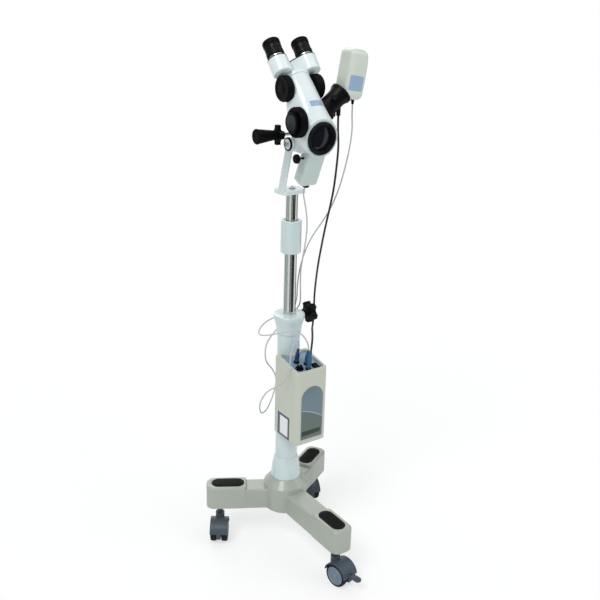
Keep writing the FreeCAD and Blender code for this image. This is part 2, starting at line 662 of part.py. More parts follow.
def head_form(shrink, setback):
    """The head's outer form, or the same form less a wall and set back from both ends.

    Oval sections fan out from a line above the head, from the bezel to the neck's end.
    """
    wires = []
    fan = V(0, *fan_line())
    start, end = fan.distanceToPoint(vec(BEZEL)), fan.distanceToPoint(vec(NECK_END))
    for share, above, below, beside in HEAD_BULGES:
        ends = (share == 0.0) - (share == 1.0)
        angle = math.radians(NOSE_DOWN + share * (EYE_ANGLE - NOSE_DOWN) + setback * ends)
        down, front = V(0, math.sin(angle), -math.cos(angle)), V(0, -math.cos(angle), -math.sin(angle))
        radius = BEZEL_RADIUS + share * (NECK_RADIUS - BEZEL_RADIUS)
        middle = start + share * (end - start) + (below - above) * BEZEL_RADIUS / 2
        centre = fan + down * middle
        width = radius + beside * BEZEL_RADIUS - shrink
        height = radius + (above + below) * BEZEL_RADIUS / 2 - shrink
        if height - width < 0.01:
            circle = Part.Circle(centre, front, width)
            circle.XAxis = down
            wires.append(Part.Wire([circle.toShape()]))
        else:
            oval = Part.Ellipse(centre + down * height, centre + V(width, 0, 0), centre)
            wires.append(Part.Wire([oval.toShape()]))
    return Part.makeLoft(wires, True, False)


def pivot_block():
    """The block on the head's left side that takes the pivot pin and the handle rod."""
    low_x = BOSS_OUTER_X
    body = block((low_x, BOSS_FRONT_Y, BOSS_BOTTOM), (low_x + BOSS_THICKNESS, PIVOT_Y, BOSS_TOP))
    body = round_corners(body, 4.0, lambda e: is_along(e, X) and e.CenterOfMass.y < BOSS_FRONT_Y + 1)
    eye = cylinder(YOKE_EYE_RADIUS, BOSS_THICKNESS, (low_x, PIVOT_Y, PIVOT_Z), X)
    shoulder = cylinder(9.5, BOSS_THICKNESS, (low_x, HANDLE_Y, HANDLE_Z), X)
    return fuse([body, eye, shoulder])


def make_head_body():
    relief = cylinder(RELIEF_RADIUS, BEZEL_RADIUS, (BOSS_OUTER_X - BEZEL_RADIUS, PIVOT_Y, PIVOT_Z), X)
    form = fuse([head_form(0.0, 0.0).cut(relief), pivot_block(),
                 cylinder(FOCUS_BOSS_RADIUS, -FOCUS_START_X - FOCUS_BOSS_ROOT - SEAT,
                          (FOCUS_START_X + SEAT, FOCUS_Y, FOCUS_Z), X)])
    inside = head_form(HEAD_WALL, HEAD_SETBACK)
    keep = block((BOSS_OUTER_X - 1, BOSS_FRONT_Y, BOSS_BOTTOM),
                 (BOSS_OUTER_X + BOSS_THICKNESS, BOSS_BACK_Y, BOSS_TOP))
    body = form.cut(inside.cut(keep))
    bore = cylinder(OBJECTIVE_RADIUS, OBJECTIVE_DEPTH + OVERRUN, along(BEZEL, NOSE, OVERRUN), [-n for n in NOSE])
    eye_ways = [cylinder(8.0, 2 * HEAD_WALL + 30.0, (side * HINGE_HALF_SPACING, NECK_Y, NECK_Z), EYE_AXIS)
                for side in (-1, 1)]
    lamp_way = moved_lamp(block((-10.0, -10.0, LAMP_LENGTH - 34.0), (10.0, 10.0, LAMP_LENGTH + 16.0)))
    tools = [bore, lamp_way] + eye_ways
    tools.append(cylinder(PIVOT_RADIUS + FIT, 17.2, (BOSS_OUTER_X - OVERRUN, PIVOT_Y, PIVOT_Z), X))
    tools.append(cylinder(ROD_RADIUS, 30.0, (BOSS_OUTER_X + 12.0 - 30.0, HANDLE_Y, HANDLE_Z), X))
    tools.append(cylinder(SHAFT_RADIUS + FIT, 26.0, (FOCUS_START_X - OVERRUN, FOCUS_Y, FOCUS_Z), X))
    shaft_reach = MAGNIFIER_START + OVERRUN
    tools.append(cylinder(SHAFT_RADIUS + FIT, 2 * shaft_reach, (-shaft_reach, MAGNIFIER_Y, MAGNIFIER_Z), X))
    tools.append(cylinder(ADAPTER_BORE, 40.0, along(PORT, PORT_AXIS, -25.0), PORT_AXIS))
    for tool in tools:
        body = body.cut(tool)
    body = body.cut(lamp_outer()).cut(adapter_outer())
    for side in (-1, 1):
        start = (side * (MAGNIFIER_START - SEAT), MAGNIFIER_Y, MAGNIFIER_Z)
        body = body.cut(cylinder(MAGNIFIER_RADIUS + 1.0, 30.0, start, (side, 0, 0)))
    return max(body.Solids, key=lambda solid: solid.Volume)


def make_objective_ring():
    start = OBJECTIVE
    back = [-n for n in NOSE]
    length = OBJECTIVE_PROUD + OBJECTIVE_DEPTH
    ring = fuse([tube(OBJECTIVE_RADIUS - FIT, OBJECTIVE_BORE, length, start, back),
                 tube(RIM_RADIUS, OBJECTIVE_BORE, OBJECTIVE_PROUD, start, back)])
    mouth = Part.makeCone(OBJECTIVE_RADIUS - 2.0, OBJECTIVE_BORE, LENS_INSET, vec(start), vec(back))
    seat = cylinder(OBJECTIVE_BORE + 2.0, LENS_THICKNESS, along(start, back, LENS_INSET + 2.0), back)
    return ring.cut(mouth).cut(seat)


def make_objective_lens():
    """A thick lens in the ring's groove, domed at its front."""
    back = [-n for n in NOSE]
    start = along(OBJECTIVE, back, LENS_INSET + 2.0)
    disc = cylinder(OBJECTIVE_BORE + 2.0 - FIT, LENS_THICKNESS, start, back)
    dome_radius = 90.0
    sag = dome_radius - math.sqrt(dome_radius ** 2 - OBJECTIVE_BORE ** 2)
    ball = Part.makeSphere(dome_radius, vec(along(start, back, dome_radius - sag)))
    front = cylinder(OBJECTIVE_BORE - 0.5, sag + OVERRUN, along(start, back, -sag), back)
    return fuse([disc, front.common(ball)])


# ---- lamp housing -------------------------------------------------------------------------------
def moved_lamp(shape):
    """Takes a shape from the lamp's own frame, with +Z up its slanted axis, to its place."""
    return moved(turned(shape, LAMP_LEAN, axis=X), 0, LAMP_BOTTOM_Y, LAMP_BOTTOM_Z)


def lamp_block(shrink, low, high):
    half_x, half_y = LAMP_WIDTH / 2 - shrink, LAMP_DEPTH / 2 - shrink
    form = block((-half_x, -half_y, low), (half_x, half_y, high))
    return round_corners(form, 8.0 - shrink, lambda e: is_along(e, Z))


def lamp_outer():
    form = lamp_block(0.0, 0.0, LAMP_LENGTH)
    form = round_corners(form, 4.0, lambda e: e.BoundBox.ZMax < 0.01)
    return moved_lamp(form)


def make_lamp_housing():
    outer = lamp_outer()
    inside = moved_lamp(lamp_block(LAMP_WALL, LAMP_WALL, LAMP_LENGTH + OVERRUN))
    way = moved_lamp(cylinder(GLAND_RADIUS - 3.0, 10.0, (0, -4.0, -OVERRUN)))
    shell = outer.cut(inside).cut(way)
    filter_bore = cylinder(2.0 + FIT, LAMP_WIDTH, (-LAMP_WIDTH, 0, FILTER_HEIGHT), X)
    return shell.cut(moved_lamp(filter_bore))


def make_lamp_gland():
    collar = cylinder(GLAND_RADIUS, GLAND_LENGTH, (0, -4.0, -GLAND_LENGTH))
    collar = round_corners(collar, 2.5, lambda e: isinstance(e.Curve, Part.Circle) and e.BoundBox.ZMax < -1.0)
    neck = cylinder(GLAND_RADIUS - 3.0 - FIT, LAMP_WALL, (0, -4.0, 0))
    way = cylinder(THIN_CORD / 2 - 0.2, 30.0, (0, -4.0, -15.0))
    return moved_lamp(fuse([collar, neck]).cut(way))


def make_lamp_module():
    """Heat sink, lamp board and light pipe inside the lamp housing."""
    half = LAMP_WIDTH / 2 - LAMP_WALL
    sink = block((-half, -8.0, 12.0), (half, 8.0, 30.0))
    for i in range(4):
        x = -half + 5.0 + i * (2 * half - 10.0 - 3.0) / 3
        sink = sink.cut(block((x, -9.0, 10.0), (x + 3.0, 9.0, 24.0)))
    pipe = cylinder(7.0, LAMP_LENGTH - 34.0 - 30.0 + 6.0, (0, 0, 30.0))
    return moved_lamp(fuse([sink, pipe]))


def make_filter_knob():
    """A small mushroom knob whose stem turns the filter disc in the lamp housing."""
    x = -LAMP_WIDTH / 2
    stem = cylinder(2.0, FILTER_REACH + 6.0, (x - FILTER_REACH, 0, FILTER_HEIGHT), X)
    cap = cone(FILTER_RADIUS - 2.0, FILTER_RADIUS, FILTER_THICKNESS - 4.0,
               (x - FILTER_REACH, 0, FILTER_HEIGHT), (-1, 0, 0))
    crown = cone(FILTER_RADIUS, FILTER_RADIUS - 3.5, 4.0,
                 (x - FILTER_REACH - FILTER_THICKNESS + 4.0, 0, FILTER_HEIGHT), (-1, 0, 0))
    disc = cylinder(11.0, 1.5, (x + LAMP_WALL + 1.5, 0, FILTER_HEIGHT), X)
    return moved_lamp(fuse([stem, cap, crown, disc]))


# ---- handle, lock wheel and knobs ---------------------------------------------------------------
def make_handle_rod():
    length = BOSS_OUTER_X + 12.0 - (GRIP_START_X - 20.0)
    return cylinder(ROD_RADIUS - FIT, length, (GRIP_START_X - 20.0, HANDLE_Y, HANDLE_Z), X)


def make_handle_grip():
    grip = cone(GRIP_SMALL_RADIUS, GRIP_BIG_RADIUS, GRIP_LENGTH, (GRIP_START_X, HANDLE_Y, HANDLE_Z), (-1, 0, 0))
    grip = round_corners(grip, 3.0, lambda e: e.BoundBox.XMax < GRIP_START_X - GRIP_LENGTH + 0.01)
    return grip.cut(cylinder(ROD_RADIUS, 21.0, (GRIP_START_X - 20.0, HANDLE_Y, HANDLE_Z), X))


def make_lock_wheel():
    start_x = GRIP_START_X + SEAT
    wheel = lobed_disc(LOCK_RADIUS, LOCK_THICKNESS, 4, 10.0, (start_x, HANDLE_Y, HANDLE_Z), X)
    hub = cone(9.0, 6.5, 10.0, (start_x + LOCK_THICKNESS, HANDLE_Y, HANDLE_Z), X)
    bore = cylinder(ROD_RADIUS + FIT, 60.0, (start_x - OVERRUN, HANDLE_Y, HANDLE_Z), X)
    return fuse([wheel, hub]).cut(bore)


def make_focus_drum():
    """The coarse focus drum with its hollow shaft."""
    start = FOCUS_START_X - FOCUS_THICKNESS
    drum = cylinder(FOCUS_RADIUS, FOCUS_THICKNESS, (start, FOCUS_Y, FOCUS_Z), X)
    drum = round_corners(drum, 2.5, lambda e: isinstance(e.Curve, Part.Circle))
    shaft = cylinder(SHAFT_RADIUS, 19.0, (FOCUS_START_X - OVERRUN, FOCUS_Y, FOCUS_Z), X)
    bore = cylinder(2.0 + FIT, FOCUS_THICKNESS + 40.0, (start - OVERRUN, FOCUS_Y, FOCUS_Z), X)
    return fuse([drum, shaft]).cut(bore)


def make_fine_knob():
    start = FOCUS_START_X - FOCUS_THICKNESS - SEAT - FINE_THICKNESS
    disc = cylinder(FINE_RADIUS, FINE_THICKNESS, (start, FOCUS_Y, FOCUS_Z), X)
    disc = round_corners(disc, 2.0, lambda e: isinstance(e.Curve, Part.Circle))
    spindle = cylinder(2.0, FINE_THICKNESS + FOCUS_THICKNESS + 16.0, (start + 1.0, FOCUS_Y, FOCUS_Z), X)
    return fuse([disc, spindle])


def make_magnification_knobs():
    """Two knobs on one shaft that carries the lens drum through the neck."""
    solids = []
    for side in (-1, 1):
        knob = cylinder(MAGNIFIER_RADIUS, MAGNIFIER_THICKNESS,
                        (side * MAGNIFIER_START, MAGNIFIER_Y, MAGNIFIER_Z), (side, 0, 0))
        solids.append(round_corners(knob, 4.0, lambda e: isinstance(e.Curve, Part.Circle)))
    reach = MAGNIFIER_START + 2.0
    solids.append(cylinder(SHAFT_RADIUS, 2 * reach, (-reach, MAGNIFIER_Y, MAGNIFIER_Z), X))
    solids.append(cylinder(13.0, 2 * 17.0, (-17.0, MAGNIFIER_Y, MAGNIFIER_Z), X))
    return fuse(solids)


# ---- binocular ----------------------------------------------------------------------------------
def on_neck(shape):
    """Takes a shape from the neck's frame to its place: +Z up the eyepieces, +X to the right."""
    copy = shape.copy()
    copy.rotate(V(0, 0, 0), V(1, 0, 0), EYE_ANGLE - 90.0)
    copy.translate(vec(NECK_END))
    return copy


def make_binocular_base():
    plate = cylinder(BASE_PLATE_RADIUS, BASE_PLATE_THICKNESS)
    pins = [cylinder(HINGE_PIN_RADIUS, PRISM_THICKNESS * 0.6, (side * HINGE_HALF_SPACING, 0, BASE_PLATE_THICKNESS))
            for side in (-1, 1)]
    way = cylinder(HINGE_PIN_RADIUS - 1.5, 60.0, (0, 0, -OVERRUN))
    plate = fuse([plate] + pins)
    for side in (-1, 1):
        plate = plate.cut(moved(way, side * HINGE_HALF_SPACING, 0, 0))
    return on_neck(plate)


def eye_place(side):
    angle = math.radians(EYE_SWING_ANGLE)
    x = side * (HINGE_HALF_SPACING + EYE_SWING_RADIUS * math.cos(angle))
    return (x, -EYE_SWING_RADIUS * math.sin(angle))


PRISM_BOTTOM = BASE_PLATE_THICKNESS + SEAT


def make_prism_housing(side):
    hub = (side * HINGE_HALF_SPACING, 0.0)
    eye = eye_place(side)
    outer = teardrop(hub, HINGE_BOSS_RADIUS, eye, PRISM_RADIUS, PRISM_THICKNESS, PRISM_BOTTOM)
    lower = [e for e in outer.Edges if e.BoundBox.ZMax < PRISM_BOTTOM + 0.01]
    outer = outer.makeFillet(3.0, lower)
    inside = teardrop(hub, HINGE_BOSS_RADIUS - 4.0, eye, PRISM_RADIUS - 3.0, PRISM_THICKNESS - 3.0,
                      PRISM_BOTTOM + 3.0)
    boss = cylinder(HINGE_PIN_RADIUS + 3.0, PRISM_THICKNESS, (hub[0], hub[1], PRISM_BOTTOM))
    pin_way = cylinder(HINGE_PIN_RADIUS + FIT, PRISM_THICKNESS + 2 * OVERRUN, (hub[0], hub[1], PRISM_BOTTOM - OVERRUN))
    return on_neck(outer.cut(inside).fuse(boss.common(outer)).cut(pin_way).removeSplitter())


def make_eyepiece(side):
    """The black cover plate of a prism housing with the fixed eyepiece tube."""
    hub = (side * HINGE_HALF_SPACING, 0.0)
    eye = eye_place(side)
    level = PRISM_BOTTOM + PRISM_THICKNESS
    plate = teardrop(hub, HINGE_BOSS_RADIUS, eye, PRISM_RADIUS, SEAM_THICKNESS, level)
    stem = cylinder(EYE_TUBE_RADIUS, EYE_TUBE_LENGTH, (eye[0], eye[1], level + SEAM_THICKNESS - OVERRUN))
    bore = cylinder(EYE_TUBE_RADIUS - 2.5, 80.0, (eye[0], eye[1], level - OVERRUN))
    return on_neck(fuse([plate, stem]).cut(bore))


def make_diopter_ring(side):
    """The turning eyepiece barrel with its cup and its ocular lens seat."""
    eye = eye_place(side)
    low = PRISM_BOTTOM + PRISM_THICKNESS + SEAM_THICKNESS + DIOPTER_START
    outer = cylinder(DIOPTER_RADIUS, DIOPTER_LENGTH, (eye[0], eye[1], low))
    outer = outer.cut(tube(DIOPTER_RADIUS + 5.0, DIOPTER_RADIUS - 1.2, 3.0, (eye[0], eye[1], low + 11.0)))
    tops = [e for e in outer.Edges if e.BoundBox.ZMin > low + DIOPTER_LENGTH - 0.01]
    outer = outer.makeFillet(3.0, tops)
    lower = cylinder(EYE_TUBE_RADIUS + FIT, EYE_TUBE_LENGTH - DIOPTER_START + SEAT - OVERRUN, (eye[0], eye[1], low))
    eye_way = cylinder(11.0, DIOPTER_LENGTH + 2 * OVERRUN, (eye[0], eye[1], low - OVERRUN))
    return on_neck(outer.cut(lower).cut(eye_way))


# ---- camera -------------------------------------------------------------------------------------
PORT = (PORT_X, PORT_Y, PORT_Z)
PORT_AXIS = (math.cos(math.radians(PORT_RISE)), 0.0, math.sin(math.radians(PORT_RISE)))
CAMERA_SEAT = along(PORT, PORT_AXIS, ADAPTER_LENGTH)


def adapter_outer():
    return cylinder(ADAPTER_FLANGE_RADIUS, ADAPTER_FLANGE_LENGTH, PORT, PORT_AXIS)


def make_camera_adapter():
    """A coupling on the head's port with a clamp neck and a flared camera mount."""
    neck_length = ADAPTER_LENGTH - ADAPTER_FLANGE_LENGTH - 16.0
    neck_start = along(PORT, PORT_AXIS, ADAPTER_FLANGE_LENGTH - OVERRUN)
    neck = cylinder(ADAPTER_RADIUS, neck_length + 2 * OVERRUN, neck_start, PORT_AXIS)
    flare = cone(ADAPTER_RADIUS, ADAPTER_FLANGE_RADIUS, 16.0,
                 along(PORT, PORT_AXIS, ADAPTER_LENGTH - 16.0), PORT_AXIS)
    body = fuse([adapter_outer(), neck, flare])
    way = cylinder(ADAPTER_BORE, ADAPTER_LENGTH + 2 * OVERRUN, along(PORT, PORT_AXIS, -OVERRUN), PORT_AXIS)
    screw_way = cylinder(2.5 + FIT, ADAPTER_FLANGE_RADIUS + 5.0, clamp_place(0.0), CLAMP_AXIS)
    gland = cylinder(VIDEO_CORD, GLAND_DROP, ADAPTER_EXIT)
    return fuse([body, gland]).cut(way).cut(screw_way)


PORT_UP = (-PORT_AXIS[2], 0.0, PORT_AXIS[0])
CLAMP_TURN = math.radians(50.0)   # the thumb screw leans this far to the front
CLAMP_AXIS = (math.cos(CLAMP_TURN) * PORT_UP[0], -math.sin(CLAMP_TURN), math.cos(CLAMP_TURN) * PORT_UP[2])
GLAND_DROP = 20.0     # length of the gland under the adapter
ADAPTER_EXIT = along(along(along(PORT, PORT_AXIS, 51.0), PORT_UP, -17.0), Z, -GLAND_DROP)


def clamp_place(distance):
    """A point on the thumb screw's axis, at a distance from the adapter's axis."""
    foot = along(PORT, PORT_AXIS, ADAPTER_FLANGE_LENGTH + 15.0)
    return along(foot, CLAMP_AXIS, distance)


def make_thumb_screw():
    shank = cylinder(2.5, ADAPTER_RADIUS - ADAPTER_BORE + 4.0, clamp_place(ADAPTER_BORE + 1.0), CLAMP_AXIS)
    head = lobed_disc(6.0, 7.0, 8, 1.6, clamp_place(ADAPTER_RADIUS + 3.0), CLAMP_AXIS)
    return fuse([shank, head])


def camera_block(shrink):
    width, depth, height = (size / 2 - shrink for size in (CAMERA_WIDTH, CAMERA_DEPTH, CAMERA_HEIGHT))
    form = block((-width, -depth, -height), (width, depth, height))
    form = round_corners(form, CAMERA_ROUND - shrink, lambda e: is_along(e, Z))
    form = round_corners(form, CAMERA_ROUND - shrink - 2.0, lambda e: abs(e.CenterOfMass.z) > height - 0.01)
    return moved(turned(form, CAMERA_TILT, axis=Y), CAMERA_X, CAMERA_Y, CAMERA_Z)


CAMERA_EXIT = (112.0, CAMERA_Y, 1038.0)
CAMERA_GLAND_LENGTH = 13.0


def make_camera_gland():
    """The strain relief under the camera's case."""
    return cone(2.6, 4.5, CAMERA_GLAND_LENGTH, CAMERA_EXIT)


def make_camera_case():
    """A rounded case cut square to the adapter, with a lip round the cut."""
    face = along(CAMERA_SEAT, PORT_AXIS, SEAT)
    below = cylinder(200.0, 200.0, face, [-n for n in PORT_AXIS])
    below_inner = cylinder(200.0, 200.0, along(face, PORT_AXIS, CAMERA_WALL), [-n for n in PORT_AXIS])
    outer = camera_block(0.0).cut(below)
    inside = camera_block(CAMERA_WALL).cut(below_inner)
    case = outer.cut(inside)
    spigot = tube(ADAPTER_BORE - SEAT, ADAPTER_BORE - 3.0, 14.0 + CAMERA_WALL,
                  along(face, PORT_AXIS, -14.0), PORT_AXIS)
    window = cylinder(ADAPTER_BORE - 3.0, 10.0, along(face, PORT_AXIS, -OVERRUN), PORT_AXIS)
    return fuse([case.cut(window).cut(make_camera_gland()), spigot])


# ================================ power box =====================================================
PANEL_RISE = math.radians(BOX_RISE)
PANEL_NORMAL = (0, -math.sin(PANEL_RISE), math.cos(PANEL_RISE))


def panel_point(place, height):
    """A point above the top panel's outer face, at (x, y) of the panel."""
    rise = (place[1] - BOX_FRONT_Y) * math.tan(PANEL_RISE)
    foot = (place[0], place[1], BOX_FRONT_TOP - PANEL_RECESS / math.cos(PANEL_RISE) + rise)
    return along(foot, PANEL_NORMAL, height)


def on_panel(shape, place, height=0.0):
    """Takes a shape drawn on the XY plane to a place on the tilted panel."""
    point = panel_point(place, height)
    return moved(turned(shape, BOX_RISE, axis=X), point[0], point[1], point[2])


def box_form(shrink):
    """The box's outer form, or the same form shrunk by a wall."""
    front, back = BOX_FRONT_Y + shrink, BOX_BACK_Y - shrink
    side = [(front, BOX_BOTTOM + shrink), (back, BOX_BOTTOM + shrink),
            (back, BOX_FRONT_TOP + (back - BOX_FRONT_Y) * math.tan(PANEL_RISE)),
            (front, BOX_FRONT_TOP + shrink * math.tan(PANEL_RISE))]
    half = BOX_HALF_WIDTH - shrink
    form = polygon_face([(-half, y, z) for y, z in side]).extrude(V(2 * half, 0, 0))
    radius = BOX_ROUND - shrink
    return round_corners(form, radius, lambda e: is_along(e, Z) and e.CenterOfMass.y < BOX_FRONT_Y + 10)


def column_way(clearance):
    return cylinder(COLUMN_RADIUS + clearance, COLUMN_TOP, (0, 0, 0))


def inlet_cut(grow):
    return block((BOX_HALF_WIDTH - INLET_DEPTH - grow, INLET_Y - INLET_WIDTH / 2 - grow, INLET_Z - INLET_HEIGHT / 2 - grow),
                 (BOX_HALF_WIDTH + OVERRUN, INLET_Y + INLET_WIDTH / 2 + grow, INLET_Z + INLET_HEIGHT / 2 + grow))


def make_box_shell():
    """A shell whose rim overhangs the recessed panel."""
    outer = box_form(0.0)
    outer = round_corners(outer, BOX_EDGE, lambda e: e.BoundBox.ZMin > BOX_FRONT_TOP - 0.01
                          or e.BoundBox.ZMax < BOX_BOTTOM + 0.01)
    under_rim = moved(box_form(BOX_WALL), 0, 0, -PANEL_RECESS / math.cos(PANEL_RISE))
    floor = block((-BOX_HALF_WIDTH, BOX_FRONT_Y, BOX_BOTTOM - 2 * BOX_WALL),
                  (BOX_HALF_WIDTH, BOX_BACK_Y, BOX_BOTTOM + BOX_WALL))
    mouth = box_form(BOX_RIM)
    inside = fuse([under_rim, mouth, moved(mouth, 0, 0, 2 * BOX_RIM)]).cut(floor)
    shell = outer.cut(column_way(FIT)).cut(inside.cut(column_way(BOX_WALL)))
    return shell.cut(inlet_cut(0.0))


def make_top_panel():
    """The recessed panel that closes the box, with holes for what stands in it."""
    top = box_form(BOX_WALL + FIT)
    lower = moved(top, 0, 0, -PANEL_THICKNESS / math.cos(PANEL_RISE))
    plate = moved(top.cut(lower), 0, 0, -PANEL_RECESS / math.cos(PANEL_RISE))
    plate = plate.common(block((-80, -200, BOX_FRONT_TOP - 12.0), (80, 60, BOX_FRONT_TOP + 60.0)))
    plate = plate.cut(column_way(BOX_WALL + FIT))
    for place in (LAMP_SOCKET, CAMERA_SOCKET, VIDEO_SOCKET):
        plate = plate.cut(on_panel(cylinder(PLUG_RADIUS, 20.0, (0, 0, -10.0)), place))
    plate = plate.cut(on_panel(cylinder(2.5 + FIT, 20.0, (0, 0, -10.0)), DIAL_PLACE))
    half_x, half_y = SWITCH_WIDTH / 2, SWITCH_LENGTH / 2
    plate = plate.cut(on_panel(block((-half_x, -half_y, -10.0), (half_x, half_y, 10.0)), SWITCH_PLACE))
    return max(plate.Solids, key=lambda solid: solid.Volume)


def make_front_panel():
    """The arched plate on the box's front."""
    half = FRONT_PLATE_WIDTH / 2
    thickness = FRONT_PLATE_THICKNESS
    crown = 24.0
    back = BOX_FRONT_Y
    flank_top = FRONT_PLATE_BOTTOM + FRONT_PLATE_HEIGHT - crown
    slab = block((-half, back - thickness, FRONT_PLATE_BOTTOM), (half, back, flank_top))
    radius = (half ** 2 + crown ** 2) / (2 * crown)
    arch = cylinder(radius, thickness, (0, back, flank_top + crown - radius), (0, -1, 0))
    arch = arch.common(block((-half, back - 5, flank_top - 1), (half, back + 1, flank_top + crown + 1)))
    return fuse([slab, arch])


def make_straps():
    """Two straps that hold the box on the column."""
    straps = []
    inner = COLUMN_RADIUS + FIT
    for height in STRAP_HEIGHTS:
        band = tube(inner + STRAP_THICKNESS, inner, STRAP_WIDTH, (0, 0, height))
        band = band.common(block((-60, BOX_BACK_Y, 0), (60, 60, COLUMN_TOP)))
        for side in (-1, 1):
            low, high = sorted((side * MAST_RADIUS, side * (BOX_HALF_WIDTH - BOX_WALL)))
            ear = block((low, BOX_BACK_Y, height), (high, BOX_BACK_Y + STRAP_THICKNESS, height + STRAP_WIDTH))
            band = band.fuse(ear.cut(column_way(FIT)))
        straps.append(band.removeSplitter())
    return Part.makeCompound(straps)


def make_electronics():
    """A transformer block and a circuit board on the floor of the box."""
    floor = BOX_BOTTOM + BOX_WALL
    transformer = block((-30.0, -90.0, floor), (10.0, -44.0, floor + 42.0))
    board = block((-33.0, -88.0, floor + 44.0), (-31.4, -40.0, floor + 140.0))
    rails = block((-34.0, -90.0, floor + 42.0), (-20.0, -44.0, floor + 44.0))
    return fuse([transformer, rails, board])


def make_inlet():
    """The mains inlet: a cup with three blades."""
    body = block((BOX_HALF_WIDTH - INLET_DEPTH, INLET_Y - INLET_WIDTH / 2 + FIT, INLET_Z - INLET_HEIGHT / 2 + FIT),
                 (BOX_HALF_WIDTH + 1.5, INLET_Y + INLET_WIDTH / 2 - FIT, INLET_Z + INLET_HEIGHT / 2 - FIT))
    cup = block((BOX_HALF_WIDTH - INLET_DEPTH + 3.0, INLET_Y - 11.0, INLET_Z - 7.5),
                (BOX_HALF_WIDTH + 3.0, INLET_Y + 11.0, INLET_Z + 7.5))
    blades = [block((BOX_HALF_WIDTH - INLET_DEPTH + 2.0, INLET_Y + dy - 1.0, INLET_Z + dz - 2.0),
                    (BOX_HALF_WIDTH - 3.0, INLET_Y + dy + 1.0, INLET_Z + dz + 2.0))
              for dy, dz in ((-6.0, -1.5), (0.0, 2.0), (6.0, -1.5))]
    return fuse([body.cut(cup)] + blades)


def switch_frame():
    """A rim on the panel and a box under it with the bore of the rocker's trunnions."""
    half_x, half_y = SWITCH_WIDTH / 2, SWITCH_LENGTH / 2
    rim = block((-half_x - 1.5, -half_y - 1.5, 0), (half_x + 1.5, half_y + 1.5, 1.2))
    case = block((-half_x - 1.5, -half_y - 1.5, -16.0), (half_x + 1.5, half_y + 1.5, -PANEL_THICKNESS))
    throat = block((-half_x - FIT + 0.1, -half_y, -PANEL_THICKNESS), (half_x - 0.05, half_y, 0))
    inner = block((-half_x + 1.0, -half_y + 1.0, -12.0), (half_x - 1.0, half_y - 1.0, 3.0))
    bore = cylinder(1.0 + FIT, SWITCH_WIDTH + 2.0, (-half_x - 1.0, 0, SWITCH_AXIS_Z), X)
    return fuse([rim, throat, case]).cut(inner).cut(bore)


def make_sockets():
    """Three round sockets in the top panel and the frame that the rocker turns in."""
    sockets = [on_panel(switch_frame(), SWITCH_PLACE)]
    for place in (LAMP_SOCKET, CAMERA_SOCKET, VIDEO_SOCKET):
        flange = cylinder(SOCKET_RADIUS, SOCKET_HEIGHT)
        barrel = cylinder(PLUG_RADIUS - FIT, 14.0, (0, 0, -14.0))
        sockets.append(on_panel(fuse([flange, barrel]), place))
    return Part.makeCompound(sockets)


def make_plug(place, length):
    body = cylinder(PLUG_RADIUS, length * 0.62, (0, 0, SOCKET_HEIGHT))
    boot = cone(PLUG_RADIUS - 1.0, 3.0, length * 0.38, (0, 0, SOCKET_HEIGHT + length * 0.62))
    return on_panel(fuse([body, boot]), place)


def plug_tip(place, length):
    return panel_point(place, SOCKET_HEIGHT + length)


def make_dial():
    knob = cylinder(DIAL_RADIUS, DIAL_HEIGHT, (0, 0, SEAT))
    knob = knob.cut(block((-0.7, 1.0, DIAL_HEIGHT - 0.6), (0.7, DIAL_RADIUS + 1, DIAL_HEIGHT + 1)))
    shaft = cylinder(2.5, 9.0, (0, 0, -8.0))
    return on_panel(fuse([knob, shaft]), DIAL_PLACE)


def make_switch():
    """A rocker that pivots on a line across its middle, at rest in its off position."""
    half_x, half_y = SWITCH_WIDTH / 2 - 1.0 - SEAT, SWITCH_LENGTH / 2 - 2.4
    outline = [(-half_x, -half_y, -3.0), (-half_x, half_y, -3.0), (-half_x, half_y, 3.8),
               (-half_x, 0.0, 2.0), (-half_x, -half_y, 2.0)]
    rocker = polygon_face(outline).extrude(V(2 * half_x, 0, 0))
    web = block((-half_x, -3.0, SWITCH_AXIS_Z - 2.0), (half_x, 3.0, -2.5))
    trunnions = cylinder(1.0, SWITCH_WIDTH, (-SWITCH_WIDTH / 2, 0, SWITCH_AXIS_Z), X)
    return on_panel(fuse([rocker, web, trunnions]), SWITCH_PLACE)


# ================================ cords =========================================================
def below_lamp(distance):
    """A point on the lamp gland's axis, at a distance below the lamp housing."""
    point = moved_lamp(Part.Vertex(0, -4.0, -distance)).Point
    return (point.x, point.y, point.z)


def plug_lead(place, length, lead):
    """The last two points of a cord's route: above the plug, and on its tip."""
    return [panel_point(place, SOCKET_HEIGHT + length + lead), plug_tip(place, length)]


LAMP_ROUTE_MIDDLE = [
    below_lamp(GLAND_LENGTH + CORD_LEAD), (8, -37, 838), (15, -35, 811), (20, -31, 780), (22, -24, 746),
    (23, -14, 711), (25, -4, 676), (30, 3, 640), (36, 9, 610), (42, 20, 583), (38, 38, 568), (16, 54, 561), (-16, 56, 557),
    (-46, 42, 553), (-70, 18, 550), (-78, -8, 551), (-66, -32, 556), (-42, -50, 562), (-16, -63, 562)]
CAMERA_ROUTE_MIDDLE = [
    (112, -50, 1014), (115, -50, 986), (113, -47, 950), (108, -43, 912), (98, -38, 864), (83, -31, 818), (62, -24, 783),
    (43, -15, 752), (31, -5, 712), (25, 3, 668), (26, 9, 630), (33, 19, 600), (35, 35, 568),
    (17, 48, 538), (-12, 46, 516), (-38, 33, 503), (-51, 19, 485), (-45, 24, 457), (-24, 36, 432),
    (-10, 40, 400), (-22, 38, 366), (-46, 22, 348), (-68, 0, 354), (-79, -20, 382), (-72, -38, 413),
    (-61, -56, 432), (-53, -70, 452), (-50, -78, 484), (-45, -76, 516), (-34, -70, 541)]
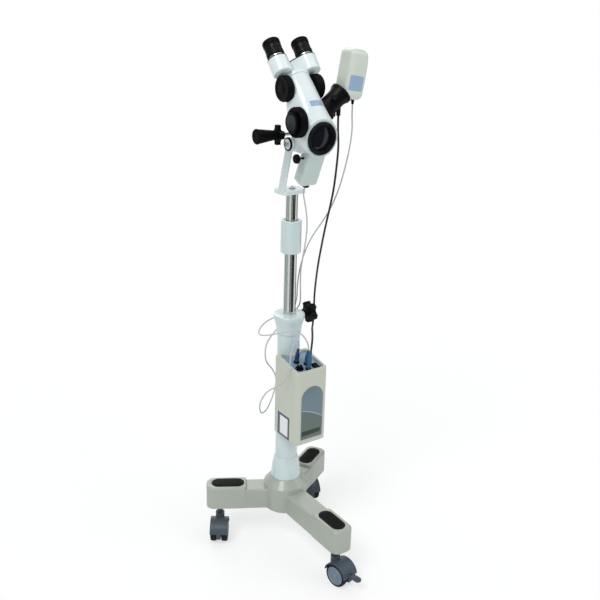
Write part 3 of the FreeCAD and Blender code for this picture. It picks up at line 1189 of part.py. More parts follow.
VIDEO_ROUTE_MIDDLE = [
    (76.5, -50, 992), (80, -51, 955), (79, -48, 908), (77, -44, 860), (72, -38, 815), (67, -32, 775),
    (66, -22, 730), (68, -9, 684), (72, 3, 639), (74, 12, 596), (70, 14, 562), (58, 5, 538),
    (42, -14, 532), (27, -38, 546), (12, -64, 563)]


# ================================ write every node ==============================================
def build():
    nodes = {
        "base_casting": make_base(),
        "foot_pads": make_foot_pads(),
        "caster_sockets": make_caster_sockets(),
        "column_tube": make_column(),
        "column_cuff": make_cuff(),
        "height_collar": make_collar(),
        "guide_bush": make_guide_bush(),
        "box_shell": make_box_shell(),
        "box_top_panel": make_top_panel(),
        "box_front_panel": make_front_panel(),
        "box_straps": make_straps(),
        "box_electronics": make_electronics(),
        "mains_inlet": make_inlet(),
        "panel_sockets": make_sockets(),
        "lower_mast": make_lower_mast(),
        "mast_sleeve": make_sleeve(),
        "swivel_bush": make_swivel_bush(),
        "height_knob": make_height_knob(),
        "upper_post": make_upper_post(),
        "yoke_bracket": make_yoke(),
        "yoke_fasteners": make_yoke_fasteners(),
        "head_body": make_head_body(),
        "objective_ring": make_objective_ring(),
        "objective_lens": make_objective_lens(),
        "lamp_housing": make_lamp_housing(),
        "lamp_gland": make_lamp_gland(),
        "lamp_module": make_lamp_module(),
        "filter_knob": make_filter_knob(),
        "handle_rod": make_handle_rod(),
        "handle_grip": make_handle_grip(),
        "tilt_lock_wheel": make_lock_wheel(),
        "focus_drum": make_focus_drum(),
        "fine_focus_knob": make_fine_knob(),
        "magnification_knobs": make_magnification_knobs(),
        "binocular_base": make_binocular_base(),
        "camera_adapter": make_camera_adapter(),
        "camera_thumb_screw": make_thumb_screw(),
        "camera_case": make_camera_case(),
        "camera_gland": make_camera_gland(),
        "brightness_dial": make_dial(),
        "power_switch": make_switch(),
    }
    for arm in ARMS:
        nodes["caster_hood_" + arm] = on_caster(caster_hood(arm == "front"), arm)
        nodes["caster_wheels_" + arm] = on_caster(caster_wheels(), arm)
    nodes["brake_pedal"] = on_caster(brake_pedal(), "front")
    for name, side in (("left", -1), ("right", 1)):
        nodes["prism_housing_" + name] = make_prism_housing(side)
        nodes["eyepiece_" + name] = make_eyepiece(side)
        nodes["diopter_ring_" + name] = make_diopter_ring(side)
    cords = {
        "lamp": (below_lamp(GLAND_LENGTH), LAMP_ROUTE_MIDDLE, LAMP_SOCKET, PLUG_LENGTH, CORD_LEAD, THIN_CORD),
        "camera": (CAMERA_EXIT, CAMERA_ROUTE_MIDDLE, CAMERA_SOCKET, PLUG_LENGTH, CAMERA_LEAD, THIN_CORD),
        "video": (ADAPTER_EXIT, VIDEO_ROUTE_MIDDLE, VIDEO_SOCKET, PLUG_LENGTH + 8.0, VIDEO_LEAD, VIDEO_CORD),
    }
    for name, (start, middle, place, length, lead, diameter) in cords.items():
        nodes[name + "_plug"] = make_plug(place, length)
        route = [start] + middle + plug_lead(place, length, lead)
        nodes[name + "_cord"] = cord_tube(name + "_cord", route, diameter)
    return nodes


def main():
    os.makedirs("parts", exist_ok=True)
    for name, shape in build().items():
        if not shape.isValid():
            print("not valid:", name)
        shape.exportStep("parts/" + name + ".step")
        print(name, len(shape.Solids), round(shape.Volume / 1000, 1), "cm3")


main()
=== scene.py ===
"""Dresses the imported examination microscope: finishes, fine shapes, cords, light and camera.

Blender works in metres, the sizes below are millimetres. +Z is up, the objective looks to -Y and the
side camera is on +X.
"""
from __future__ import annotations

import logging
import math
from dataclasses import dataclass
from enum import Enum
from functools import cache, partial
from typing import Sequence

import bmesh
import bpy
from mathutils import Matrix, Vector
from mathutils.bvhtree import BVHTree


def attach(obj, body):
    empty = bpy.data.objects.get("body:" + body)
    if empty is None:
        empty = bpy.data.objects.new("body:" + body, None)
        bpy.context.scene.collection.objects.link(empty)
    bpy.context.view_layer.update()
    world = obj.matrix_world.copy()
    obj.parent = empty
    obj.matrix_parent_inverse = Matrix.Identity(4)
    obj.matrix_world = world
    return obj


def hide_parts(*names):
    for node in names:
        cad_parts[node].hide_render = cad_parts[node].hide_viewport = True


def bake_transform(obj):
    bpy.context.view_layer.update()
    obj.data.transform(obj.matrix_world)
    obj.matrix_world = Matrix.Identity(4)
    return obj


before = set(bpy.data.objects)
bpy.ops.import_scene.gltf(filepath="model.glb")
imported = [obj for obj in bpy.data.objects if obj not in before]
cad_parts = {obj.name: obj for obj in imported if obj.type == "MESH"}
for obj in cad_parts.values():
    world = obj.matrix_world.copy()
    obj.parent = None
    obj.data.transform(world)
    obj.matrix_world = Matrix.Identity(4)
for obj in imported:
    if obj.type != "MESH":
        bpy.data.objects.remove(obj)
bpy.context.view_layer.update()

MM = 0.001
CLEARANCE = 0.05     # between a tube and what is turned round it
RIB_ANGLE = 50.0     # from which the edges of ribs stay sharp, in degrees
FLAT_ANGLE = 0.4     # up to which faces of a CAD node count as one
MERGE = 0.000002     # distance within which its points do, in metres
LOG = logging.getLogger("microscope")
Point = tuple[float, float, float]
Pair = tuple[float, float]
Profile = list[Pair]


# ================ finishes ================
class Value:
    """A socket's output with Python's arithmetic on it."""

    def __init__(self, graph: Graph, socket: bpy.types.NodeSocket | None) -> None:
        """Keeps the graph and the socket."""
        self.graph = graph
        self.socket = socket

    def __add__(self, other: Value | float) -> Value:
        """self + other."""
        return self.graph.maths("ADD", self, other)

    def __sub__(self, other: Value | float) -> Value:
        """self - other."""
        return self.graph.maths("SUBTRACT", self, other)

    def __rsub__(self, other: float) -> Value:
        """other - self."""
        return self.graph.maths("SUBTRACT", other, self)

    def __mul__(self, other: Value | float) -> Value:
        """self * other."""
        return self.graph.maths("MULTIPLY", self, other)

    __radd__ = __add__
    __rmul__ = __mul__


class Graph:
    """The node tree of a material, a world or a group."""

    def __init__(self, tree: bpy.types.NodeTree) -> None:
        """Starts an empty tree."""
        self.tree = tree
        tree.nodes.clear()

    def maths(self, operation: str, first: object, second: object, clamp: bool = False) -> Value:
        """The result of a Math node."""
        return self.add("ShaderNodeMath", {"operation": operation, "use_clamp": clamp}, {0: first, 1: second})

    def mix(self, factor: object, first: object, second: object, blend: str = "MIX") -> Value:
        """The colour that a Mix node gives."""
        return self.add("ShaderNodeMix", {"data_type": "RGBA", "blend_type": blend},
                        {"Factor": factor, 6: first, 7: second}, 2)

    def add(self, kind: str, settings: dict[str, object] | None = None,
            inputs: dict[object, object] | None = None, output: object = 0) -> Value:
        """Adds one node.

        Args:
            kind: the node's type.
            settings: attributes, set before the inputs.
            inputs: values or links by socket name or number.
            output: the socket to return.
        Returns:
            The chosen output.
        """
        node = self.tree.nodes.new(kind)
        for name, value in (settings or {}).items():
            setattr(node, name, value)
        for name, value in (inputs or {}).items():
            if isinstance(value, Value):
                self.tree.links.new(value.socket, node.inputs[name])
            else:
                node.inputs[name].default_value = value
        return Value(self, node.outputs[output] if len(node.outputs) else None)


def new_material(name: str) -> tuple[bpy.types.Material, Graph]:
    """An empty material.

    Args:
        name: its name.
    Returns:
        The material and its graph.
    """
    made = bpy.data.materials.new(name)
    made.use_nodes = True
    return made, Graph(made.node_tree)


class Texture(Enum):
    """The small-scale surface of a finish."""

    ENAMEL = "enamel"
    MOULDED = "moulded"
    MACHINED = "machined"
    CAST = "cast"
    POLISHED = "polished"


BROAD_SCALE = 14.0       # of the mottle over a whole piece
LATHE_LINES = 5200.0     # scale of the lines that a tool leaves
DUST = (0.55, 0.54, 0.50, 1.0)
WHITE = (1.0, 1.0, 1.0, 1.0)


@dataclass(frozen=True)
class Finish:
    """A finish: its texture, record slot, colour, gloss and grain."""

    texture: Texture
    name: str
    slot: str
    colour: Point
    roughness: float
    metallic: float = 0.0
    coat: float = 0.0
    grain: float = 900.0
    depth: float = 0.00002
    mottle: float = 0.05
    dust: float = 0.0
    transmission: float = 0.0
    specular: float = 0.5
    axis: Point = (0.0, 0.0, 1.0)

    @cache
    def material(self) -> bpy.types.Material:
        """The finish's material, which is built once.

        Returns:
            The material.
        """
        made, graph = new_material(self.name)
        place = graph.add("ShaderNodeTexCoord", output="Object")
        broad, fine = (graph.add("ShaderNodeTexNoise", inputs={"Vector": place, "Scale": s, "Detail": d})
                       for s, d in ((BROAD_SCALE, 3.0), (self.grain, 2.0)))
        relief, sheen = self._relief(graph, place, fine)
        tint = (broad - 0.5) * (2.0 * self.mottle) + 1.0
        grey = graph.add("ShaderNodeCombineColor", inputs={0: tint, 1: tint, 2: tint})
        colour = graph.mix(1.0, (*self.colour, 1.0), grey, "MULTIPLY")
        if self.dust:
            normal = graph.add("ShaderNodeNewGeometry", output="Normal")
            up = graph.add("ShaderNodeSeparateXYZ", inputs={0: normal}, output=2)
            colour = graph.mix(graph.maths("MULTIPLY", up, broad * self.dust, True), colour, DUST)
        bump = graph.add("ShaderNodeBump", inputs={"Strength": 1.0, "Distance": self.depth, "Height": relief})
        shader = graph.add("ShaderNodeBsdfPrincipled", inputs={
            "Base Color": colour, "Roughness": (broad - 0.5) * 0.12 + sheen + self.roughness,
            "Metallic": self.metallic, "Coat Weight": self.coat, "Coat Roughness": 0.08,
            "Transmission Weight": self.transmission, "Specular IOR Level": self.specular, "Normal": bump})
        graph.add("ShaderNodeOutputMaterial", inputs={"Surface": shader})
        return made

    def _relief(self, graph: Graph, place: Value, fine: Value) -> tuple[Value, Value]:
        """The small-scale surface.

        Args:
            graph: the material's graph.
            place: object coordinates.
            fine: the fine noise.
        Returns:
            The bump's height and the change of roughness.
        """
        if self.texture is Texture.MACHINED:
            along = graph.add("ShaderNodeVectorMath", {"operation": "DOT_PRODUCT"},
                              {0: place, 1: self.axis}, "Value")
            lines = graph.add("ShaderNodeTexNoise", {"noise_dimensions": "1D"},
                              {"W": along, "Scale": LATHE_LINES, "Detail": 3.0})
            return lines + fine * 0.2, (lines - 0.5) * 0.16
        if self.texture is Texture.CAST:
            cells = graph.add("ShaderNodeTexVoronoi", inputs={"Vector": place, "Scale": self.grain * 0.6})
            return cells * 0.7 + fine * 0.5, (fine - 0.5) * 0.1
        if self.texture is Texture.MOULDED:
            cells = graph.add("ShaderNodeTexVoronoi", {"feature": "SMOOTH_F1"},
                              {"Vector": place, "Scale": self.grain * 1.4})
            return cells + fine * 0.4, (cells - 0.5) * 0.08
        return fine * 1.0, (fine - 0.5) * (0.05 if self.texture is Texture.ENAMEL else 0.02)


enamel = partial(Finish, Texture.ENAMEL)
moulded = partial(Finish, Texture.MOULDED)
machined = partial(Finish, Texture.MACHINED)
cast = partial(Finish, Texture.CAST)

HEAD_WHITE = enamel("head_enamel", "head_white", (0.745, 0.825, 0.835), 0.30, coat=0.35, grain=420)
# The head's white paint made darker and greener: painted shade for the lamp housing, which faces down and
# away from the light
LAMP_SHADED_WHITE = enamel("lamp_enamel_painted_shade", "head_white", (0.515, 0.61, 0.58), 0.34, coat=0.25, grain=420)
BEZEL_WHITE = machined("bezel_enamel", "head_white", (0.56, 0.655, 0.65), 0.32, coat=0.25,
                       axis=(0.0, 0.996, 0.087))
COLUMN_WHITE = enamel("column_enamel", "column_white", (0.575, 0.68, 0.69), 0.28, coat=0.4, grain=420,
                      dust=0.04)
BASE_CREAM = cast("base_enamel", "base_cream", (0.37, 0.405, 0.35), 0.36, coat=0.25, grain=520, depth=0.00003,
                  mottle=0.04, dust=0.04)
BOX_CREAM = cast("box_enamel", "base_cream", (0.525, 0.55, 0.47), 0.38, coat=0.2, grain=640, mottle=0.03,
                 dust=0.04)
BLACK_PLASTIC = moulded("black_knob_plastic", "black_plastic", (0.004, 0.004, 0.005), 0.36, specular=0.07)
BLACK_RUBBER = moulded("grip_rubber", "black_rubber", (0.004, 0.004, 0.0045), 0.50, specular=0.05)
PAD_RUBBER = moulded("pad_rubber", "black_rubber", (0.007, 0.008, 0.008), 0.60, specular=0.08, dust=0.01)
BLACK_METAL = machined("anodised_black", "black_anodised", (0.005, 0.005, 0.006), 0.32, specular=0.11,
                       axis=(0.78, 0.0, 0.62))
SLATE_PLATE = machined("dark_plate", "black_anodised", (0.02, 0.024, 0.028), 0.30, axis=(1.0, 0.0, 0.0))
CASTER_GREY = moulded("caster_nylon", "caster_grey", (0.15, 0.215, 0.27), 0.42, dust=0.06, mottle=0.08)
CASTER_TREAD = cast("caster_tread", "caster_tyre", (0.009, 0.010, 0.013), 0.55, specular=0.15, dust=0.02,
                    mottle=0.1)
CASTER_HOOD = moulded("caster_hood", "caster_grey", (0.052, 0.072, 0.092), 0.40, specular=0.3, dust=0.04)
STEEL = machined("plated_steel", "steel", (0.62, 0.63, 0.65), 0.26, metallic=1.0)
CHROME = machined("polished_chrome", "chrome", (0.63, 0.66, 0.63), 0.10, metallic=1.0, depth=0.000004)
BRASS = machined("turned_brass", "brass", (0.28, 0.23, 0.13), 0.34, metallic=1.0)
LENS = Finish(Texture.POLISHED, "coated_glass", "lens_glass", (0.010, 0.013, 0.021), 0.03, transmission=0.35,
              specular=0.20, depth=0.000001, mottle=0.0)
CAMERA_IVORY = moulded("camera_moulding", "camera_cream", (0.62, 0.68, 0.60), 0.34, coat=0.15, grain=700)
CORD_GREY = moulded("grey_sheath", "cord_grey", (0.50, 0.50, 0.50), 0.45, mottle=0.04)
CORD_BLACK = moulded("black_sheath", "cord_black", (0.012, 0.012, 0.013), 0.45)
PLUG_BLUE = moulded("blue_plug", "plug_blue", (0.018, 0.036, 0.135), 0.33, coat=0.2)
PLUG_TEAL = moulded("teal_plug", "plug_teal", (0.025, 0.10, 0.20), 0.33, coat=0.2)
PANEL_PALE = enamel("top_panel_enamel", "panel_grey", (0.20, 0.30, 0.42), 0.36, coat=0.2)
PLATE_SKY = enamel("plate_upper", "panel_grey", (0.14, 0.20, 0.235), 0.34, coat=0.2)
PLATE_SLATE = enamel("plate_lower", "panel_grey", (0.10, 0.14, 0.13), 0.34, coat=0.2)
PLATE_LINE = enamel("plate_line", "panel_grey", (0.32, 0.40, 0.40), 0.36, coat=0.2)
PANEL_GREEN = enamel("green_band", "panel_grey", (0.018, 0.036, 0.018), 0.40)
CARD_EDGE = enamel("card_edge", "panel_grey", (0.07, 0.09, 0.125), 0.38)
CIRCUIT = moulded("circuit_board", "circuit", (0.04, 0.16, 0.07), 0.45)
LABEL_CARD = enamel("bare_card", "camera_cream", (0.76, 0.77, 0.80), 0.30, coat=0.3)
LABEL_BLUE = enamel("bare_blue_card", "head_white", (0.30, 0.42, 0.58), 0.30, coat=0.3)


# ================ mesh tools ================
def put(name: str, data: bpy.types.ID) -> bpy.types.Object:
    """A new object in the scene.

    Args:
        name: its name.
        data: what it shows.
    Returns:
        The object.
    """
    made = bpy.data.objects.new(name, data)
    bpy.context.scene.collection.objects.link(made)
    return made


def smooth(mesh: bpy.types.Mesh, sharp: float) -> None:
    """Smooths a mesh but for the edges that turn by more than so many degrees."""
    mesh.shade_smooth()
    mesh.set_sharp_from_angle(angle=math.radians(sharp))


def settle(mesh: bpy.types.Mesh, name: str, finish: Finish, body: str, node: str = "",
           sharp: float = 32.0) -> bpy.types.Object:
    """Makes a finished piece of a mesh.

    Args:
        mesh: geometry in the row frame, in metres.
        name: the piece's name.
        finish: its finish.
        body: the CAD body it rides on.
        node: the CAD node that it stands for, if any.
        sharp: edges that turn by more than this many degrees stay sharp.
    Returns:
        The piece.
    """
    mesh.materials.clear()
    mesh.materials.append(finish.material())
    smooth(mesh, sharp)
    piece = put(name, mesh)
    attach(piece, body)
    if node:
        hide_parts(node)
    LOG.info("%s: %d faces", name, len(mesh.polygons))
    return piece


def facing(origin: Sequence[float], axis: Sequence[float], turn: float = 0.0) -> Matrix:
    """A frame in metres whose Z is an axis.

    Args:
        origin: its origin in millimetres.
        axis: the direction of its Z.
        turn: degrees about that axis.
    Returns:
        The matrix.
    """
    rotation = Vector((0, 0, 1)).rotation_difference(Vector(axis).normalized()).to_matrix().to_4x4()
    return Matrix.Translation(Vector(origin) * MM) @ rotation @ Matrix.Rotation(math.radians(turn), 4, "Z")


def raised(place: Matrix, height: float) -> Matrix:
    """A frame moved along its own Z by so many millimetres."""
    return place @ Matrix.Translation((0, 0, height * MM))


def softened(profile: Profile, radius: float, closed: bool, steps: int) -> Profile:
    """Rounds the corners of a profile.

    Args:
        profile: the corners.
        radius: how far from a corner its round starts, at most.
        closed: whether the last point joins the first.
        steps: segments in each round.
    Returns:
        The rounded profile.
    """
    result: Profile = []
    count = len(profile)
    for i, point in enumerate(profile):
        if not closed and i in (0, count - 1):
            result.append(point)
            continue
        here, before, after = Vector(point), Vector(profile[i - 1]), Vector(profile[(i + 1) % count])
        cut = min(radius, (before - here).length * 0.45, (after - here).length * 0.45)
        start = here + (before - here).normalized() * cut
        end = here + (after - here).normalized() * cut
        for t in (k / steps for k in range(steps + 1)):
            result.append(tuple(start * (1 - t) ** 2 + here * 2 * t * (1 - t) + end * t ** 2))
    return result


def lathed(profile: Profile, place: Matrix, soft: float = 0.0, segments: int = 72, steps: int = 3,
           closed: bool = False) -> bpy.types.Mesh:
    """A turned shape.

    Args:
        profile: (radius, height) points. Without a point on the axis they are a loop, as for a ring.
        place: the frame whose Z is the axis.
        soft: how far from a corner its round starts.
        segments: round the axis.
        steps: segments in each round.
        closed: makes a loop of a profile that has points on the axis.
    Returns:
        The mesh, placed.
    """
    closed = closed or all(radius > 0 for radius, _ in profile)
    shape = bmesh.new()
    rings = []
    for radius, height in softened(profile, soft, closed, steps) if soft else profile:
        turns = [2 * math.pi * k / segments for k in range(segments if radius > 1e-6 else 1)]
        rings.append([shape.verts.new((radius * MM * math.cos(a), radius * MM * math.sin(a), height * MM))
                      for a in turns])
    for low, high in zip(rings, rings[1:] + (rings[:1] if closed else [])):
        for k in range(segments):
            j = (k + 1) % segments
            corners = (low[k % len(low)], low[j % len(low)], high[j % len(high)], high[k % len(high)])
            unique = list(dict.fromkeys(corners))
            if len(unique) > 2:
                shape.faces.new(unique)
    bmesh.ops.recalc_face_normals(shape, faces=shape.faces)
    shape.transform(place)
    return to_mesh(shape)


def turned(name: str, finish: Finish, body: str, place: Matrix, profile: Profile, soft: float = 0.0,
           node: str = "", segments: int = 72, steps: int = 3, closed: bool = False) -> None:
    """A piece turned from one profile, with the arguments of lathed and settle."""
    settle(lathed(profile, place, soft, segments, steps, closed), name, finish, body, node)


def screws(name: str, finish: Finish, body: str, head: Profile, places: Sequence[Matrix]) -> None:
    """A piece of small socket screws, whose undersides are hidden and left out."""
    settle(joined([lathed(head, place, 0.2, 24) for place in places]), name, finish, body)


def to_mesh(shape: bmesh.types.BMesh) -> bpy.types.Mesh:
    """Turns a bmesh into a mesh.

    Args:
        shape: the bmesh, which is freed.
    Returns:
        The mesh.
    """
    mesh = bpy.data.meshes.new("mesh")
    shape.to_mesh(mesh)
    shape.free()
    return mesh


def joined(meshes: Sequence[bpy.types.Mesh]) -> bpy.types.Mesh:
    """One mesh of several.

    Args:
        meshes: the meshes, which are removed.
    Returns:
        The mesh.
    """
    shape = bmesh.new()
    for mesh in meshes:
        shape.from_mesh(mesh)
        bpy.data.meshes.remove(mesh)
    return to_mesh(shape)


def slab(outline: Sequence[Pair], low: float, high: float, place: Matrix,
         edge: float = 0.0) -> bpy.types.Mesh:
    """A plate of an outline.

    Args:
        outline: (x, y) corners in millimetres, anticlockwise.
        low: its underside.
        high: its top.
        place: its frame.
        edge: the width of the edge round.
    Returns:
        The mesh, placed.
    """
    shape = bmesh.new()
    face = shape.faces.new([shape.verts.new((x * MM, y * MM, low * MM)) for x, y in outline])
    extruded = bmesh.ops.extrude_face_region(shape, geom=[face])["geom"]
    top = [v for v in extruded if isinstance(v, bmesh.types.BMVert)]
    bmesh.ops.translate(shape, verts=top, vec=(0, 0, (high - low) * MM))
    bmesh.ops.recalc_face_normals(shape, faces=shape.faces)
    if edge:
        rim = [e for e in shape.edges if abs(e.verts[0].co.z - e.verts[1].co.z) < 1e-7]
        bmesh.ops.bevel(shape, geom=rim, offset=edge * MM, segments=2, affect="EDGES", profile=0.6)
    shape.transform(place)
    return to_mesh(shape)


def rounded_rectangle(width: float, length: float, radius: float, steps: int = 8,
                      centre: Pair = (0.0, 0.0)) -> list[Pair]:
    """The outline of a rectangle with round corners.

    Args:
        width: along X.
        length: along Y.
        radius: of the corners.
        steps: segments in each corner.
        centre: its middle.
    Returns:
        The corners, anticlockwise.
    """
    points = []
    for quarter, (sx, sy) in enumerate(((1, 1), (-1, 1), (-1, -1), (1, -1))):
        x, y = centre[0] + sx * (width / 2 - radius), centre[1] + sy * (length / 2 - radius)
        for angle in (math.pi / 2 * (quarter + k / steps) for k in range(steps + 1)):
            points.append((x + radius * math.cos(angle), y + radius * math.sin(angle)))
    return points


def laid_on(source: bpy.types.Object, place: Matrix, width: float, height: float) -> bpy.types.Mesh:
    """A thin card that follows the surface under it.

    Args:
        source: the piece it lies on.
        place: a frame over the surface, Z away from it.
        width: of the card along X, in millimetres.
        height: of the card along Y.
    Returns:
        The mesh, placed.
    """
    surface = bmesh.new()
    surface.from_mesh(source.data)
    tree = BVHTree.FromBMesh(surface)
    surface.free()
    inward = -(place.to_3x3() @ Vector((0, 0, 1))).normalized()
    shape = bmesh.new()
    columns, rows, half_thickness, start_height = 24, 10, 0.3, 30.0
    grid = {}
    for i in range(columns + 1):
        for j in range(rows + 1):
            u, v = 2 * i / columns - 1, 2 * j / rows - 1
            trim = 1.0 - 0.02 * (abs(u) > 0.99 and abs(v) > 0.99)
            start = Vector((u * trim * width / 2, v * trim * height / 2, start_height)) * MM
            hit, normal, _, _ = tree.ray_cast(place @ start, inward, 2 * start_height * MM)
            if hit:
                grid[i, j] = [shape.verts.new(hit + normal * side * half_thickness * MM) for side in (1, -1)]
    for i in range(columns):
        for j in range(rows):
            corners = [grid.get(k) for k in ((i, j), (i + 1, j), (i + 1, j + 1), (i, j + 1))]
            if all(corners):
                shape.faces.new([top for top, _ in corners])
                shape.faces.new([low for _, low in reversed(corners)])
    rim = [e for e in shape.edges if e.is_boundary]
    for (i, j), (top, low) in grid.items():
        for next_top, next_low in (grid[k] for k in ((i + 1, j), (i, j + 1)) if k in grid):
            if shape.edges.get((top, next_top)) in rim:
                shape.faces.new((top, next_top, next_low, low))
    bmesh.ops.recalc_face_normals(shape, faces=shape.faces)
    return to_mesh(shape)


def dressed(node: str, finish: Finish, body: str, edge: float, sharp: float = 32.0) -> bpy.types.Object:
    """A merged copy of a CAD node with rounded edges, which stands for the node.

    Args:
        node: the CAD node.
        finish: its finish.
        body: its body.
        edge: width of the edge round in millimetres.
        sharp: the smoothing angle.
    Returns:
        The piece.
    """
    shape = bmesh.new()
    shape.from_mesh(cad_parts[node].data)
    bmesh.ops.remove_doubles(shape, verts=shape.verts, dist=MERGE)
    bmesh.ops.dissolve_limit(shape, angle_limit=math.radians(FLAT_ANGLE), verts=shape.verts,
                             edges=shape.edges)
    piece = settle(to_mesh(shape), node + "_dressed", finish, body, node, sharp)
    if edge:
        bevel = piece.modifiers.new("edge round", "BEVEL")
        bevel.width, bevel.segments = edge * MM, 2
        bevel.limit_method, bevel.angle_limit = "ANGLE", math.radians(sharp)
        bevel.use_clamp_overlap, bevel.harden_normals = True, False
        bevel.miter_outer = "MITER_ARC"
    return piece


# ================ repeats ================
class Pattern(Enum):
    """How bars repeat: as ribs round a ring or in a row along X."""

    RING = "ribs_round_a_ring"
    ROW = "bars_in_a_row"


@cache
def bar_tree(pattern: Pattern) -> bpy.types.NodeTree:
    """The Geometry Nodes tree of a pattern, which is built once.

    Args:
        pattern: the pattern, whose Reach is the ring's radius or the row's pitch.
    Returns:
        The tree.
    """
    tree = bpy.data.node_groups.new(pattern.value, "GeometryNodeTree")
    kinds = {"Count": "Int", "Reach": "Float", "Rib": "Float", "Length": "Float", "Finish": "Material"}
    for name, kind in kinds.items():
        tree.interface.new_socket(name, in_out="INPUT", socket_type="NodeSocket" + kind)
    tree.interface.new_socket("Geometry", in_out="OUTPUT", socket_type="NodeSocketGeometry")
    graph = Graph(tree)
    count, reach, rib, length, finish = (graph.add("NodeGroupInput", output=name) for name in kinds)
    bar = graph.add("GeometryNodeMeshCylinder", inputs={"Vertices": 8, "Radius": rib, "Depth": length})
    if pattern is Pattern.RING:
        points = graph.add("GeometryNodeMeshCircle", inputs={"Vertices": count, "Radius": reach})
        outward = graph.add("GeometryNodeInputPosition")
        turn = graph.add("FunctionNodeAlignRotationToVector", {"axis": "X"}, {"Vector": outward})
    else:
        step = graph.add("ShaderNodeCombineXYZ", inputs={0: reach})
        points = graph.add("GeometryNodeMeshLine", inputs={"Count": count, "Offset": step})
        turn = graph.add("FunctionNodeEulerToRotation", inputs={0: (math.pi / 2, 0, 0)})
    stand = graph.add("GeometryNodeInstanceOnPoints",
                      inputs={"Points": points, "Instance": bar, "Rotation": turn})
    real = graph.add("GeometryNodeRealizeInstances", inputs={0: stand})
    paint = graph.add("GeometryNodeSetMaterial", inputs={"Geometry": real, "Material": finish})
    graph.add("NodeGroupOutput", inputs={0: paint})
    return tree


def bars(pattern: Pattern, count: int, reach: float, rib: float, length: float, place: Matrix,
         finish: Finish) -> bpy.types.Mesh:
    """Bars along a ring's axis, or along Y in a row, centred on the frame's origin.

    Args:
        pattern: how they repeat.
        count: number of bars.
        reach: the ring's radius or the row's pitch.
        rib: radius of one bar.
        length: of one bar.
        place: the frame.
        finish: the bars' finish.
    Returns:
        The mesh, placed.
    """
    tree = bar_tree(pattern)
    values = {"Count": count, "Reach": reach * MM, "Rib": rib * MM, "Length": length * MM,
              "Finish": finish.material()}
    holder = put("repeat", bpy.data.meshes.new("repeat"))
    modifier = holder.modifiers.new("repeat", "NODES")
    modifier.node_group = tree
    for item in tree.interface.items_tree:
        if item.in_out == "INPUT":
            modifier[item.identifier] = values[item.name]
    graph = bpy.context.evaluated_depsgraph_get()
    graph.update()
    mesh = bpy.data.meshes.new_from_object(holder.evaluated_get(graph))
    holder.modifiers.remove(modifier)
    bpy.data.objects.remove(holder)
    if pattern is Pattern.ROW:
        place = place @ Matrix.Translation((-(count - 1) * reach * MM / 2, 0, 0))
    mesh.transform(place)
    return mesh


def ribbed(name: str, finish: Finish, body: str, place: Matrix, height: float, count: int, radius: float,
           rib: float, length: float) -> None:
    """A piece of ribs round a ring, whose middle is so high over the frame's origin."""
    mesh = bars(Pattern.RING, count, radius, rib, length, raised(place, height), finish)
    settle(mesh, name, finish, body, sharp=RIB_ANGLE)


# ================ the stand ================
@dataclass
class Arm:
    """One arm of the base and its caster."""

    name: str
    angle: float
    reach: float
    heading: float

    def along(self, distance: float, height: float) -> Vector:
        """A point over the arm's centre line."""
        turn = math.radians(self.angle)
        return Vector((distance * math.cos(turn), distance * math.sin(turn), height))


